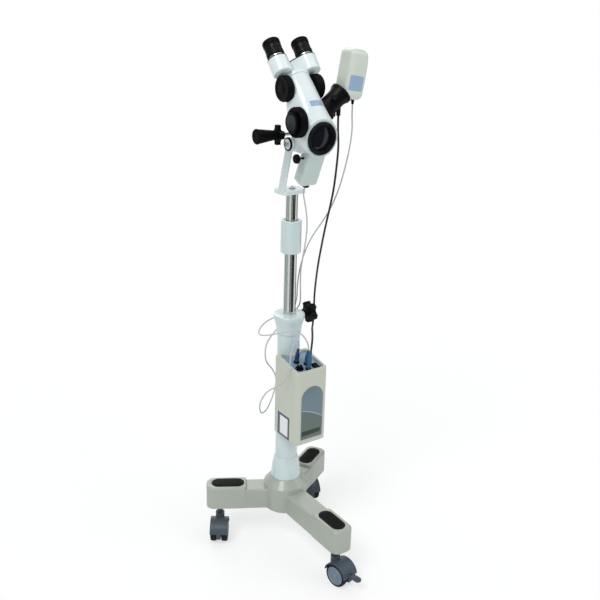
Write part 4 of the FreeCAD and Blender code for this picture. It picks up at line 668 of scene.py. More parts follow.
@dataclass
class Base:
    """The three-arm casting, its rubber pads and its casters."""

    arms: tuple[Arm, ...] = (Arm("left", 150.0, 188.0, 235.0), Arm("back", 30.0, 188.0, 75.0),
                             Arm("front", 270.0, 239.0, 280.0))
    pad_setback: float = 51.0
    pad_length: float = 77.0
    pad_width: float = 34.0
    pad_top: float = 147.0
    pad_border: float = 3.5
    pad_ribs: int = 23
    pad_pitch: float = 2.6
    stem_inset: float = 32.0
    trail: float = 18.0
    wheel_radius: float = 27.0
    wheel_inner: float = 5.5
    wheel_width: float = 15.0
    toe: float = 51.0
    toe_top: float = 38.0
    toe_ribs: int = 6
    toe_pitch: float = 2.2
    toe_width: float = 12.0

    def build(self) -> None:
        """Builds every piece of the base."""
        dressed("base_casting", BASE_CREAM, "root", 2.4, 28.0)
        dressed("caster_sockets", STEEL, "root", 0.4)
        self._pads()
        for arm in self.arms:
            dressed("caster_hood_" + arm.name, CASTER_HOOD, "caster_" + arm.name, 0.9)
            self._wheels(arm)
        dressed("brake_pedal", CASTER_HOOD, "brake", 0.7)
        front = self.arms[-1]
        toe = self._behind_stem(front, self.trail + self.toe, self.toe_top)
        place = facing(toe, (0, 0, 1), front.heading)
        ribs = bars(Pattern.ROW, self.toe_ribs, self.toe_pitch, 0.5, self.toe_width, place, CASTER_HOOD)
        settle(ribs, "pedal_ribs", CASTER_HOOD, "brake")

    def _behind_stem(self, arm: Arm, distance: float, height: float) -> Vector:
        """A point that trails a caster's stem.

        Args:
            arm: the arm over the caster.
            distance: from the stem.
            height: over the floor.
        Returns:
            The point in millimetres.
        """
        turn = math.radians(arm.heading)
        trailing = Vector((math.cos(turn), math.sin(turn), 0)) * distance
        return arm.along(arm.reach - self.stem_inset, height) + trailing

    def _pads(self) -> None:
        """Ribbed rubber pads on the ends of the arms."""
        meshes = []
        length, width, border = self.pad_length, self.pad_width, self.pad_border
        for arm in self.arms:
            place = facing(arm.along(arm.reach - self.pad_setback, self.pad_top), (0, 0, 1), arm.angle)
            outline = rounded_rectangle(length, width, width / 2 - 0.05, 12)
            inner = rounded_rectangle(length - 2 * border, width - 2 * border, width / 2 - border - 0.1, 12)
            meshes.append(slab(outline, -3.9, -0.3, place, 0.9))
            meshes.append(slab(inner, -0.5, 0.1, place, 0.3))
            meshes.append(bars(Pattern.ROW, self.pad_ribs, self.pad_pitch, 0.45, width - 11.0,
                               raised(place, 0.15), PAD_RUBBER))
        settle(joined(meshes), "ribbed_foot_pads", PAD_RUBBER, "root", "foot_pads")

    def _wheels(self, arm: Arm) -> None:
        """Twin wheels with a soft tread, a dished disc and an axle cap.

        Args:
            arm: the arm they are under.
        """
        turn = math.radians(arm.heading)
        hub = self._behind_stem(arm, self.trail, self.wheel_radius)
        axle = Vector((-math.sin(turn), math.cos(turn), 0))
        radius, width = self.wheel_radius, self.wheel_width
        tread = [(radius - 5.2, 0.6), (radius - 3.0, 0.1), (radius - 0.9, 1.2), (radius, 4.0),
                 (radius, width - 4.0), (radius - 0.9, width - 1.2), (radius - 3.0, width - 0.1),
                 (radius - 5.2, width - 0.6)]
        disc = [(0.0, 0.4), (radius - 5.3, 0.4), (radius - 5.3, width - 0.7), (radius - 6.6, width - 0.5),
                (radius - 8.0, width - 2.6), (13.0, width - 3.4), (11.5, width - 1.6), (9.0, width - 1.4),
                (8.0, width - 2.6), (6.4, width - 2.6), (5.6, width - 0.4), (3.0, width + 0.3),
                (0.0, width + 0.4)]
        places = [facing(hub + axle * side * self.wheel_inner, axle * side) for side in (-1, 1)]
        body = "wheels_" + arm.name
        settle(joined([lathed(tread, place, 0.9) for place in places]), "wheel_treads_" + arm.name,
               CASTER_TREAD, body, "caster_wheels_" + arm.name)
        settle(joined([lathed(disc, place, 0.6) for place in places]), "wheel_discs_" + arm.name,
               CASTER_GREY, body)


@dataclass
class Column:
    """The column with its flared foot and collar, the mast, the sleeve and the yoke."""

    radius: float = 25.5
    foot: float = 168.0
    collar_low: float = 534.0
    collar_top: float = 578.4
    collar_radius: float = 35.3
    bush_bore: float = 14.9
    bush_depth: float = 13.8
    mast_radius: float = 13.8
    knob: Point = (62.0, 0.0, 571.45)
    sleeve_low: float = 721.0
    sleeve_length: float = 73.0
    sleeve_radius: float = 22.5
    pivot: Point = (-36.0, -37.0, 965.0)
    plate_top: float = 862.0

    def build(self) -> None:
        """Builds every piece between the base and the head."""
        floor = Matrix.Identity(4)
        dressed("column_tube", COLUMN_WHITE, "root", 0.3)
        self._ends(floor)
        dressed("guide_bush", BLACK_PLASTIC, "root", 0.3)
        dressed("lower_mast", CHROME, "mast", 0.3)
        self._sleeve(floor)
        dressed("swivel_bush", BRASS, "mast", 0.3)
        dressed("upper_post", CHROME, "carrier", 0.3)
        dressed("height_knob", BLACK_PLASTIC, "height_clamp", 2.2)
        cap = [(9.5, -0.5), (9.5, 0.8), (7.0, 2.0), (3.0, 2.6), (0.0, 2.8)]
        turned("clamp_knob_cap", BLACK_RUBBER, "height_clamp", facing(self.knob, (1, 0, 0)), cap, 0.7,
               segments=48)
        self._yoke()

    def _ends(self, floor: Matrix) -> None:
        """The flared foot, the trumpet collar and the wiper in its mouth.

        Args:
            floor: the frame on the floor.
        """
        bore, low = self.radius + CLEARANCE, self.foot
        cuff = [(bore, low), (34.5, low), (34.4, low + 3), (33.9, low + 14), (32.6, low + 26),
                (30.6, low + 37), (28.6, low + 46), (27.3, low + 52), (26.6, low + 54), (bore, low + 54)]
        turned("flared_foot", COLUMN_WHITE, "root", floor, cuff, 2.4, "column_cuff", 96)
        low, top, rim = self.collar_low, self.collar_top, self.collar_radius
        ledge = top - self.bush_depth
        collar = [(bore, low), (27.6, low), (28.1, low + 5), (28.7, low + 12), (29.8, low + 19),
                  (31.6, low + 26), (33.8, low + 32.5), (35.1, low + 37), (rim, low + 40), (rim, top - 1.6),
                  (rim - 1.3, top), (self.bush_bore, top), (self.bush_bore, ledge), (bore, ledge)]
        turned("trumpet_collar", COLUMN_WHITE, "root", floor, collar, 1.6, "height_collar", 96)
        lip = [(14.0, top - 1.2), (17.6, top - 1.2), (17.6, top + 1.0), (14.0, top + 1.0)]
        turned("collar_wiper", COLUMN_WHITE, "root", floor, lip, 0.7)

    def _sleeve(self, floor: Matrix) -> None:
        """The white sleeve on the mast and its screws.

        Args:
            floor: the frame on the floor.
        """
        low, high = self.sleeve_low, self.sleeve_low + self.sleeve_length
        mast, outer = self.mast_radius, self.sleeve_radius
        sleeve = [(mast, low), (outer - 1.5, low), (outer, low + 1.6), (outer, high - 1.6),
                  (outer - 1.5, high), (16.0, high), (16.0, low + 26), (mast, low + 24)]
        turned("swivel_sleeve", COLUMN_WHITE, "mast", floor, sleeve, 0.9, "mast_sleeve", 96)
        outward = Vector((0.3, 0.95, 0)).normalized()
        head = [(0.0, 0.1), (1.4, 0.1), (1.4, 1.3), (2.6, 1.3), (2.6, 0.0)]
        screws("sleeve_screws", STEEL, "mast", head,
               [facing(Vector((0, 0, z)) + outward * (outer - 1.0), outward) for z in (low + 12, high - 14)])

    def _yoke(self) -> None:
        """The yoke, its pivot cap and its screws."""
        dressed("yoke_bracket", HEAD_WHITE, "carrier", 1.0)
        place = facing(self.pivot, (-1, 0, 0))
        cap = [(11.0, 0.0), (13.4, 0.0), (14.0, 0.9), (14.0, 2.8), (13.0, 4.0), (11.0, 4.0)]
        turned("pivot_cap", BLACK_PLASTIC, "carrier", place, cap, 0.6, "yoke_fasteners")
        disc = [(0.0, 0.0), (11.0, 0.0), (11.0, 3.2), (9.6, 3.8), (0.0, 3.8)]
        turned("pivot_disc", HEAD_WHITE, "carrier", place, disc, 0.5)
        screw = [(0.0, 3.6), (6.0, 3.6), (6.0, 6.2), (5.2, 6.9), (3.1, 6.9), (3.1, 4.6), (0.0, 4.4)]
        post = [(0.0, 0.0), (7.0, 0.0), (7.0, 3.0), (5.8, 4.0), (3.4, 4.0), (3.4, 1.6), (0.0, 1.4)]
        pin = [(0.0, -22.0), (5.0, -22.0), (5.0, 0.2), (0.0, 0.2)]
        bolt = [(0.0, -28.0), (4.0, -28.0), (4.0, 0.1), (0.0, 0.1)]
        plate = facing((0, 0, self.plate_top), (0, 0, 1))
        pairs = ((screw, place), (post, plate), (pin, place), (bolt, plate))
        settle(joined([lathed(profile, frame, 0.4, 48) for profile, frame in pairs]), "yoke_screws", STEEL,
               "carrier")


# ================ the head ================
@dataclass
class Knob:
    """A turned knob with ribs round its rim."""

    name: str
    node: str
    body: str
    place: Matrix
    radius: float
    thickness: float
    ribs: int
    face: Profile
    rib: float
    shaft: float
    shaft_length: float

    def build(self) -> None:
        """The knob's body on its shaft, and its ribs."""
        profile = [(0.0, 0.0), (self.radius - 1.6, 0.0), (self.radius - 0.6, 0.8),
                   (self.radius - 0.6, self.thickness - 1.2), *self.face]
        stem = [(0.0, -self.shaft_length), (self.shaft, -self.shaft_length), (self.shaft, 0.2), (0.0, 0.2)]
        meshes = [lathed(profile, self.place, 0.7), lathed(stem, self.place, segments=32)]
        settle(joined(meshes), self.name, BLACK_PLASTIC, self.body, self.node)
        ribbed(self.name + "_ribs", BLACK_PLASTIC, self.body, self.place, self.thickness / 2, self.ribs,
               self.radius - self.rib * 0.75, self.rib, self.thickness - 4.0)


@dataclass
class Head:
    """The optical head with its objective, knobs, handle, lamp and camera port."""

    nose_down: float = 5.0
    objective: Point = (0.0, -105.0, 983.0)
    proud: float = 6.0
    dome_radius: float = 90.0
    dome_rim: float = 25.6
    focus: Point = (-40.5, -83.0, 1016.0)
    focus_radius: float = 30.0
    focus_thickness: float = 15.0
    fine_radius: float = 20.5
    fine_thickness: float = 8.0
    fine_bore: float = 2.05
    magnifier: Point = (0.0, -20.5, 1073.0)
    magnifier_radius: float = 26.0
    magnifier_thickness: float = 16.0
    magnifier_start: float = 29.5
    handle: Point = (-76.0, -50.0, 988.5)
    grip_length: float = 47.0
    plate: Point = (2.5, -76.5, 1050.0)
    plate_normal: Point = (0.03, -0.735, 0.68)
    plate_size: Pair = (30.0, 12.5)
    access: Point = (36.6, -45.2, 1034.3)
    access_normal: Point = (0.986, -0.062, 0.156)
    lamp_lean: float = 23.6
    lamp_bottom: Point = (0.0, -46.5, 886.0)
    lamp_half: float = 21.0
    filter_height: float = 60.0
    filter_reach: float = 13.0

    def build(self) -> None:
        """Builds every piece of the head but the eyepieces and the camera."""
        shell = dressed("head_body", HEAD_WHITE, "head", 0.7, 30.0)
        plate = laid_on(shell, facing(self.plate, self.plate_normal), *self.plate_size)
        settle(plate, "head_bare_plate", LABEL_BLUE, "head")
        self._objective()
        self._focus()
        self._magnifier()
        dressed("handle_rod", CHROME, "head", 0.3)
        self._grip()
        dressed("tilt_lock_wheel", BLACK_PLASTIC, "tilt_lock", 1.6)
        self._lamp()
        head = [(0.0, 0.2), (1.2, 0.2), (1.2, 1.0), (2.6, 0.9), (3.0, -0.6)]
        (x, y, z), (across, *rest) = self.access, self.access_normal
        screws("head_access_screws", BLACK_METAL, "head", head,
               [facing((side * x, y, z), (side * across, *rest)) for side in (-1, 1)])

    def _objective(self) -> None:
        """Bezel, stepped ring, lens and the dark barrel behind it."""
        turn = math.radians(self.nose_down)
        place = facing(self.objective, (0, -math.cos(turn), -math.sin(turn)))
        face = -self.proud
        bezel = [(33.2, face - 1.5), (39.4, face - 1.5), (39.4, face + 0.2), (38.4, face + 1.4),
                 (34.6, face + 1.6), (33.2, face + 0.6)]
        turned("objective_bezel", BEZEL_WHITE, "head", place, bezel, 0.5, segments=96)
        ring = [(31.9, -28.0), (31.9, face), (33.0, face + 0.1), (33.0, -1.4), (31.8, 0.0), (30.4, 0.0),
                (29.8, -0.9), (28.6, -1.3), (28.2, -3.2), (27.2, -3.6), (26.8, -5.8), (26.0, -6.2),
                (26.0, -28.0)]
        turned("objective_ring_turned", BLACK_METAL, "head", place, ring, 0.35, "objective_ring", 96)
        curve, rim, seat = self.dome_radius, self.dome_rim, -9.8
        dome = [(0.0, -17.0), (26.0, -17.0), (27.9, -16.6), (27.9, -10.2), (26.4, seat)]
        dome += [(r, seat + math.sqrt(curve ** 2 - r * r) - math.sqrt(curve ** 2 - rim ** 2))
                 for r in (rim, 22.0, 18.0, 13.5, 9.0, 4.5, 0.0)]
        turned("objective_lens_ground", LENS, "head", place, dome, node="objective_lens")
        well = [(0.0, -26.0), (13.0, -26.0), (13.0, -21.0), (19.0, -21.0), (19.0, -18.4), (25.8, -18.4),
                (25.8, -27.8), (0.0, -27.8)]
        turned("objective_well", BLACK_METAL, "head", place, well, 0.3)

    def _focus(self) -> None:
        """The coarse drum and the fine disc with its dark plate."""
        radius, thick, bore = self.focus_radius, self.focus_thickness, self.fine_bore
        back = facing(self.focus, (-1, 0, 0))
        drum = [(4.0, -18.0), (4.0, 0.0), (radius - 1.6, 0.0), (radius - 0.6, 0.9),
                (radius - 0.6, thick - 1.2), (radius - 1.4, thick), (22.4, thick), (21.6, thick - 1.4),
                (bore, thick - 1.4), (bore, -18.0)]
        turned("coarse_focus_drum", BLACK_PLASTIC, "coarse_focus", back, drum, 0.6, "focus_drum")
        ribbed("coarse_focus_ribs", BLACK_PLASTIC, "coarse_focus", back, thick / 2, 72, radius - 0.55, 0.62,
               thick - 4.0)
        front = raised(back, thick + 0.3)
        radius, thick = self.fine_radius, self.fine_thickness
        face = [(radius - 1.4, thick), (16.8, thick), (16.2, 7.1), (0.0, 7.1)]
        Knob("fine_focus_disc", "fine_focus_knob", "fine_focus", front, radius, thick, 54, face, 0.6, 2.0,
             30.0).build()
        plate = [(0.0, 7.0), (15.9, 7.0), (15.9, 7.5), (15.0, 7.8), (0.0, 7.8)]
        turned("fine_focus_plate", SLATE_PLATE, "fine_focus", front, plate, 0.2)

    def _magnifier(self) -> None:
        """The two magnification knobs on their shaft."""
        _, y, z = self.magnifier
        radius, thick, start = self.magnifier_radius, self.magnifier_thickness, self.magnifier_start
        face = [(radius - 2.4, thick), (radius - 5.0, thick), (radius - 6.0, thick - 1.3), (8.0, thick - 1.3),
                (7.0, thick - 0.2), (0.0, thick)]
        for side, name, node in ((-1, "left", "magnification_knobs"), (1, "right", "")):
            Knob("magnification_knob_" + name, node, "magnification",
                 facing((side * start, y, z), (side, 0, 0), 7.0), radius, thick, 40, face, 0.95, 4.0,
                 start + 0.5).build()

    def _grip(self) -> None:
        """The ringed grip, a cone over the handle rod."""
        end, rings, pitch = self.grip_length, 9, 4.2
        grip: Profile = [(3.2, 0.0), (8.2, 0.0), (9.0, 1.0)]
        for low in (4.0 + k * pitch for k in range(rings)):
            radius = 9.0 + 6.3 * low / end
            grip += [(radius, low), (radius + 0.1, low + 0.9), (radius - 0.6, low + 1.3),
                     (radius - 0.5, low + 1.9)]
        grip += [(15.1, end - 4.0), (15.3, end - 2.0), (14.6, end - 0.6), (12.6, end), (0.0, end),
                 (0.0, 20.5), (3.2, 20.5)]
        place = facing(self.handle, (-1, 0, 0))
        turned("ringed_grip", BLACK_RUBBER, "head", place, grip, 0.45, "handle_grip", steps=2, closed=True)

    def _lamp(self) -> None:
        """The lamp housing with its gland and filter knob."""
        # the housing wears the head's white with painted shade in it
        dressed("lamp_housing", LAMP_SHADED_WHITE, "head", 1.6)
        dressed("lamp_module", BLACK_METAL, "head", 0.2)
        lean = facing(self.lamp_bottom, (0, 0, 1)) @ Matrix.Rotation(math.radians(self.lamp_lean), 4, "X")
        gland = [(6.0, 2.4), (6.0, 0.0), (9.0, 0.0), (9.0, -5.4), (8.2, -7.6), (6.0, -9.0), (1.35, -9.0),
                 (1.35, 2.4)]
        turned("lamp_gland_ring", BLACK_RUBBER, "head", lean @ facing((0, -4.0, 0), (0, 0, 1)), gland, 1.2,
               "lamp_gland", 48)
        stem = lean @ facing((-self.lamp_half - self.filter_reach, 0, self.filter_height), (-1, 0, 0))
        cap = [(0.0, -19.0), (2.0, -19.0), (2.0, 0.0), (7.5, 0.0), (9.3, 2.0), (9.5, 6.8), (8.6, 8.8),
               (6.0, 10.6), (2.5, 11.0), (0.0, 11.0)]
        disc = [(0.0, -18.2), (11.0, -18.2), (11.0, -16.8), (0.0, -16.8)]
        settle(joined([lathed(cap, stem, 0.8, 48), lathed(disc, stem, segments=48)]), "filter_mushroom",
               BLACK_PLASTIC, "filter", "filter_knob")
        ribbed("filter_ribs", BLACK_PLASTIC, "filter", stem, 4.4, 24, 9.15, 0.5, 4.2)


@dataclass
class Binocular:
    """The hinge plate, the two prism housings and their eyepieces."""

    neck: Point = (0.0, -9.0, 1081.0)
    angle: float = 50.0
    reach: float = 7.03
    hinge: float = 12.5
    swing: float = 25.5
    swing_angle: float = 30.0
    prism_top: float = 40.3
    seam: float = 2.5
    tube_radius: float = 15.0
    barrel_radius: float = 18.5
    barrel_start: float = 5.0
    barrel_length: float = 36.0

    def place(self, x: float, y: float, z: float) -> Matrix:
        """A frame on the neck, Z along the eyepieces.

        Args:
            x: to the side.
            y: across the eyepieces.
            z: along them.
        Returns:
            The matrix.
        """
        turn = math.radians(self.angle)
        foot = Vector(self.neck) + Vector((0, math.cos(turn), math.sin(turn))) * self.reach
        slope = Matrix.Rotation(math.radians(self.angle - 90.0), 4, "X")
        return Matrix.Translation(foot * MM) @ slope @ Matrix.Translation(Vector((x, y, z)) * MM)

    def build(self) -> None:
        """Builds both sides."""
        dressed("binocular_base", HEAD_WHITE, "head", 0.8)
        turn = math.radians(self.swing_angle)
        top, bore = self.prism_top + self.seam, self.tube_radius + CLEARANCE
        for side, name in ((-1, "left"), (1, "right")):
            body = "tube_" + name
            dressed("prism_housing_" + name, HEAD_WHITE, body, 1.2, 30.0)
            dressed("eyepiece_" + name, BLACK_METAL, body, 0.5)
            reach = self.hinge + self.swing * math.cos(turn)
            eye = self.place(side * reach, -self.swing * math.sin(turn), top)
            band = [(bore, 0.6), (16.6, 0.6), (16.9, 1.0), (16.9, 3.6), (16.6, 4.0), (bore, 4.0)]
            turned("eyepiece_band_" + name, CHROME, body, eye, band, 0.2)
            cap = [(0.0, 0.0), (4.6, 0.0), (4.6, 1.2), (3.4, 1.8), (0.0, 1.9)]
            turned("hinge_cap_" + name, BLACK_METAL, body, self.place(side * self.hinge, 0, top), cap, 0.3,
                   segments=32)
            self._barrel(name, raised(eye, self.barrel_start), bore)

    def _barrel(self, name: str, place: Matrix, bore: float) -> None:
        """The dioptre barrel with its ribbed ring, eyecup and ocular.

        Args:
            name: the side.
            place: the frame at the barrel's foot.
            bore: radius of the hole for the tube.
        """
        body = "diopter_" + name
        radius, length, bed, throat = self.barrel_radius, self.barrel_length, 24.0, 11.0
        barrel = [(bore, 0.0), (17.6, 0.0), (18.0, 0.6), (18.0, 10.0), (17.3, 10.8), (17.3, 13.0),
                  (17.9, 13.8), (17.9, 22.0), (17.5, 22.6), (17.5, bed), (throat, bed), (throat, 20.3),
                  (bore, 20.3)]
        turned("eyepiece_barrel_" + name, BLACK_METAL, body, place, barrel, 0.35)
        cup = [(17.5, 23.4), (radius, 24.4), (radius, length - 3.4), (radius - 0.9, length - 0.8),
               (15.4, length), (13.6, length - 0.6), (12.2, length - 4.0), (throat, length - 8.0),
               (throat, 23.4)]
        turned("eyecup_" + name, BLACK_RUBBER, body, place, cup, 0.9, "diopter_ring_" + name)
        ribbed("diopter_ribs_" + name, BLACK_METAL, body, place, 5.2, 48, 17.85, 0.55, 8.0)
        ocular = [(0.0, bed), (throat, bed), (throat, 25.6), (9.5, 26.4), (6.0, 27.2), (3.0, 27.6),
                  (0.0, 27.7)]
        turned("ocular_" + name, LENS, body, place, ocular)


@dataclass
class Camera:
    """The side camera on its coupling."""

    port: Point = (26.0, -50.0, 1018.0)
    rise: float = 38.5
    middle: Point = (107.0, -50.0, 1099.0)
    tilt: float = 10.0
    exit: Point = (112.0, -50.0, 1038.0)
    card: Point = (-3.0, -25.0, -17.0)
    card_size: Pair = (32.0, 30.0)
    case_sharp: float = 30.0
    slices: int = 20
    straight: float = 0.25       # share of the half height that keeps its width
    taper: Pair = (0.42, 0.12)   # of the outer side at its upper and its lower end
    crown: Pair = (0.08, 0.03)   # of the top at its outer and its inner end

    def build(self) -> None:
        """Builds the coupling, the case and its strain relief."""
        dressed("camera_adapter", BLACK_METAL, "head", 0.6)
        turn = math.radians(self.rise)
        axis = Vector((math.cos(turn), 0, math.sin(turn)))
        for name, reach, radius, count, length in (("coupling_ribs", 13.0, 23.9, 56, 12.0),
                                                   ("mount_ribs", 68.5, 23.0, 48, 5.0)):
            place = facing(Vector(self.port) + axis * reach, axis)
            ribbed(name, BLACK_METAL, "head", place, 0.0, count, radius, 0.7, length)
        dressed("camera_thumb_screw", BLACK_METAL, "camera_clamp", 0.6)
        case = dressed("camera_case", CAMERA_IVORY, "camera", 0.0, self.case_sharp)
        frame = facing(self.middle, (0, 0, 1)) @ Matrix.Rotation(math.radians(self.tilt), 4, "Y")
        self._swell(case.data, frame)
        card = laid_on(case, frame @ facing(self.card, (0, -1, 0)), *self.card_size)
        settle(card, "camera_bare_card", LABEL_BLUE, "camera")
        bore = 1.5
        relief = [(2.6, 0.0), (2.9, 0.4), (2.9, 1.6), (2.4, 2.0), (2.4, 2.8), (3.3, 3.2), (3.3, 4.4),
                  (2.8, 4.8), (2.8, 5.6), (3.8, 6.0), (3.8, 7.2), (3.3, 7.6), (3.3, 8.4), (4.3, 8.8),
                  (4.5, 13.0), (bore, 13.0), (bore, 0.0)]
        turned("camera_relief", BLACK_RUBBER, "camera", facing(self.exit, (0, 0, 1)), relief, 0.2,
               "camera_gland", 32, 2)

    def _swell(self, mesh: bpy.types.Mesh, frame: Matrix) -> None:
        """Draws the case in towards its ends, so that its outer side swells.

        Args:
            mesh: the case's mesh, which is changed.
            frame: the case's own tilted frame.
        """
        shape = bmesh.new()
        shape.from_mesh(mesh)
        shape.transform(frame.inverted())
        reach = [max(abs(v.co[axis]) for v in shape.verts) for axis in range(3)]
        for axis in (0, 2):
            normal = Vector((axis == 0, 0, axis == 2))
            for k in range(1, self.slices):
                plane = normal * (reach[axis] * (2 * k / self.slices - 1))
                bmesh.ops.bisect_plane(shape, geom=shape.verts[:] + shape.edges[:] + shape.faces[:],
                                       plane_co=plane, plane_no=normal)
        bmesh.ops.triangulate(shape, faces=shape.faces)
        taper_top, taper_foot = self.taper
        crown_outer, crown_inner = self.crown
        for vert in shape.verts:
            u, w = vert.co.x / reach[0], vert.co.z / reach[2]
            beyond = max(abs(w) - self.straight, 0.0) / (1 - self.straight)
            if u > 0:
                vert.co.x *= 1 - (taper_top if w > 0 else taper_foot) * beyond ** 2
            if w > 0:
                vert.co.z *= 1 - (crown_outer if u > 0 else crown_inner) * u * u
        shape.transform(frame)
        shape.to_mesh(mesh)
        shape.free()
        smooth(mesh, self.case_sharp)


# ================ the power box ================
@dataclass
class PowerBox:
    """The box on the column with its panels, controls and plugs."""

    half_width: float = 41.0
    front: float = -98.0
    front_top: float = 476.0
    rise: float = 10.0
    recess: float = 4.0
    plate_half: float = 28.5
    plate_low: float = 312.0
    plate_height: float = 127.0
    plate_crown: float = 24.0
    plug_length: float = 34.0
    plug_lift: float = 3.0
    video_extra: float = 8.0
    lamp_socket: Pair = (5.0, -64.0)
    camera_socket: Pair = (-12.0, -50.0)
    video_socket: Pair = (-2.0, -82.0)
    dial: Pair = (-20.0, -74.0)
    barrel_share: float = 0.62
    screw_x: Pair = (-31.0, 31.0)
    screw_y: Pair = (-88.0, -30.0)
    frame_centre: Pair = (47.0, 330.0)
    frame_size: Pair = (47.0, 56.0)
    card_centre: Pair = (49.0, 330.0)
    card_size: Pair = (31.0, 45.0)

    def panel(self, place: Pair, height: float) -> Point:
        """A point above the sloping top panel.

        Args:
            place: where on the panel, seen from above.
            height: off the panel.
        Returns:
            The point in millimetres.
        """
        slope = math.radians(self.rise)
        z = self.front_top - self.recess / math.cos(slope) + (place[1] - self.front) * math.tan(slope)
        return (place[0], place[1] - math.sin(slope) * height, z + math.cos(slope) * height)

    def on_panel(self, place: Pair, height: float = 0.0) -> Matrix:
        """A frame on the sloping top panel."""
        slope = Matrix.Rotation(math.radians(self.rise), 4, "X")
        return Matrix.Translation(Vector(self.panel(place, height)) * MM) @ slope

    def build(self) -> None:
        """Builds the box and what is on it."""
        dressed("box_shell", BOX_CREAM, "root", 1.4, 28.0)
        for node, finish, edge in (("box_top_panel", PANEL_PALE, 0.3), ("box_straps", STEEL, 0.3),
                                   ("box_electronics", CIRCUIT, 0.3), ("mains_inlet", BLACK_PLASTIC, 0.4),
                                   ("panel_sockets", BLACK_PLASTIC, 0.4)):
            dressed(node, finish, "root", edge)
        dressed("power_switch", BLACK_PLASTIC, "switch", 0.5)
        self._front()
        self._cards()
        self._dial()
        head = [(0.0, 0.2), (0.9, 0.2), (0.9, 0.9), (1.9, 0.8), (2.3, 0.0)]
        places = [self.on_panel((x, y)) for y in self.screw_y for x in self.screw_x]
        screws("panel_screws", STEEL, "root", head, places)
        self._plug("lamp", self.lamp_socket, PLUG_TEAL, self.plug_length)
        self._plug("camera", self.camera_socket, PLUG_BLUE, self.plug_length)
        self._plug("video", self.video_socket, PLUG_TEAL, self.plug_length + self.video_extra)

    def _front(self) -> None:
        """The arched plate in two tones with a pale curved line and a plain band."""
        flip = Matrix.Translation((0, self.front * MM, 0)) @ Matrix.Rotation(math.pi / 2, 4, "X")
        half, low, crown, steps = self.plate_half, self.plate_low, self.plate_crown, 24
        radius = (half ** 2 + crown ** 2) / (2 * crown)
        centre = low + self.plate_height - radius
        start = math.asin((radius - crown) / radius)
        angles = (start + (math.pi - 2 * start) * k / steps for k in range(steps + 1))
        arch = [(radius * math.cos(a), centre + radius * math.sin(a)) for a in angles]
        settle(slab([(-half, low), (half, low)] + arch, -0.2, 1.2, flip, 0.5), "arched_plate", PLATE_SKY,
               "root", "box_front_panel")
        inner = half - 1.4

        def line(lift: float) -> list[Pair]:
            """The curve that parts the two tones, from left to right."""
            return [(inner * (2 * t - 1), low + 72.0 + lift - 12.0 * t - 13.0 * t ** 2)
                    for t in (k / steps for k in range(steps + 1))]

        lower = [(-inner, low + 1.4), (inner, low + 1.4)] + line(0.0)[::-1]
        settle(slab(lower, 1.0, 1.3, flip), "plate_lower_tone", PLATE_SLATE, "root")
        settle(slab(line(-0.2) + line(2.2)[::-1], 1.0, 1.42, flip), "plate_curved_line", PLATE_LINE, "root")
        band = [(-inner, low + 8.5), (-inner + 50, low + 10.5), (-inner + 50, low + 20.5),
                (-inner, low + 20.5)]
        settle(slab(band, 1.0, 1.55, flip, 0.15), "green_band", PANEL_GREEN, "root")

    def _cards(self) -> None:
        """The bare card and its frame on the box's left side."""
        side = (Matrix.Translation((-self.half_width * MM, 0, 0)) @ Matrix.Rotation(-math.pi / 2, 4, "Z")
                @ Matrix.Rotation(math.pi / 2, 4, "X"))
        frame = rounded_rectangle(*self.frame_size, 1.0, centre=self.frame_centre)
        card = rounded_rectangle(*self.card_size, 0.8, centre=self.card_centre)
        settle(slab(frame, -0.1, 0.35, side, 0.15), "card_frame", CARD_EDGE, "root")
        settle(slab(card, 0.2, 0.55, side, 0.15), "bare_side_card", LABEL_CARD, "root")

    def _dial(self) -> None:
        """The brightness dial with its pointer and the ring round it."""
        place = self.on_panel(self.dial, 0.3)
        face = [(5.0, 9.0), (4.4, 8.4), (0.0, 8.4)]
        Knob("brightness_knob", "brightness_dial", "dial", place, 6.5, 9.0, 24, face, 0.4, 2.5, 8.0).build()
        mark = slab([(-0.5, 1.0), (0.5, 1.0), (0.5, 5.2), (-0.5, 5.2)], 8.3, 9.05, place, 0.1)
        settle(mark, "dial_pointer", LABEL_CARD, "dial")
        ring = [(7.0, 0.0), (9.5, 0.0), (9.0, 1.6), (7.0, 2.0)]
        turned("dial_scale_ring", BLACK_PLASTIC, "root", self.on_panel(self.dial), ring, 0.15, segments=48)

    def _plug(self, name: str, socket: Pair, finish: Finish, length: float) -> None:
        """A round plug with a ribbed grip and a tapered boot.

        Args:
            name: the cord it is on.
            socket: its place on the panel.
            finish: its finish.
            length: from the panel to the boot's tip.
        """
        place = self.on_panel(socket, self.plug_lift)
        barrel, rings = length * self.barrel_share, 5
        pitch = (length - barrel) / rings
        body = [(0.0, 0.0), (5.0, 0.0), (5.0, barrel * 0.25), (4.5, barrel * 0.25 + 0.6), (4.5, barrel - 1.4),
                (4.8, barrel - 0.8), (4.6, barrel)]
        for k in range(rings):
            low, radius = barrel + pitch * k, 4.0 - k / rings
            body += [(radius - 0.5, low + 0.1 * pitch), (radius, low + 0.3 * pitch),
                     (radius - 0.1, low + 0.8 * pitch)]
        body += [(2.6, length), (0.0, length)]
        turned(name + "_plug_body", finish, "root", place, body, 0.3, name + "_plug", 32, 2)
        ribbed(name + "_plug_grip", finish, "root", place, barrel * 0.6, 18, 4.55, 0.4, barrel * 0.5)


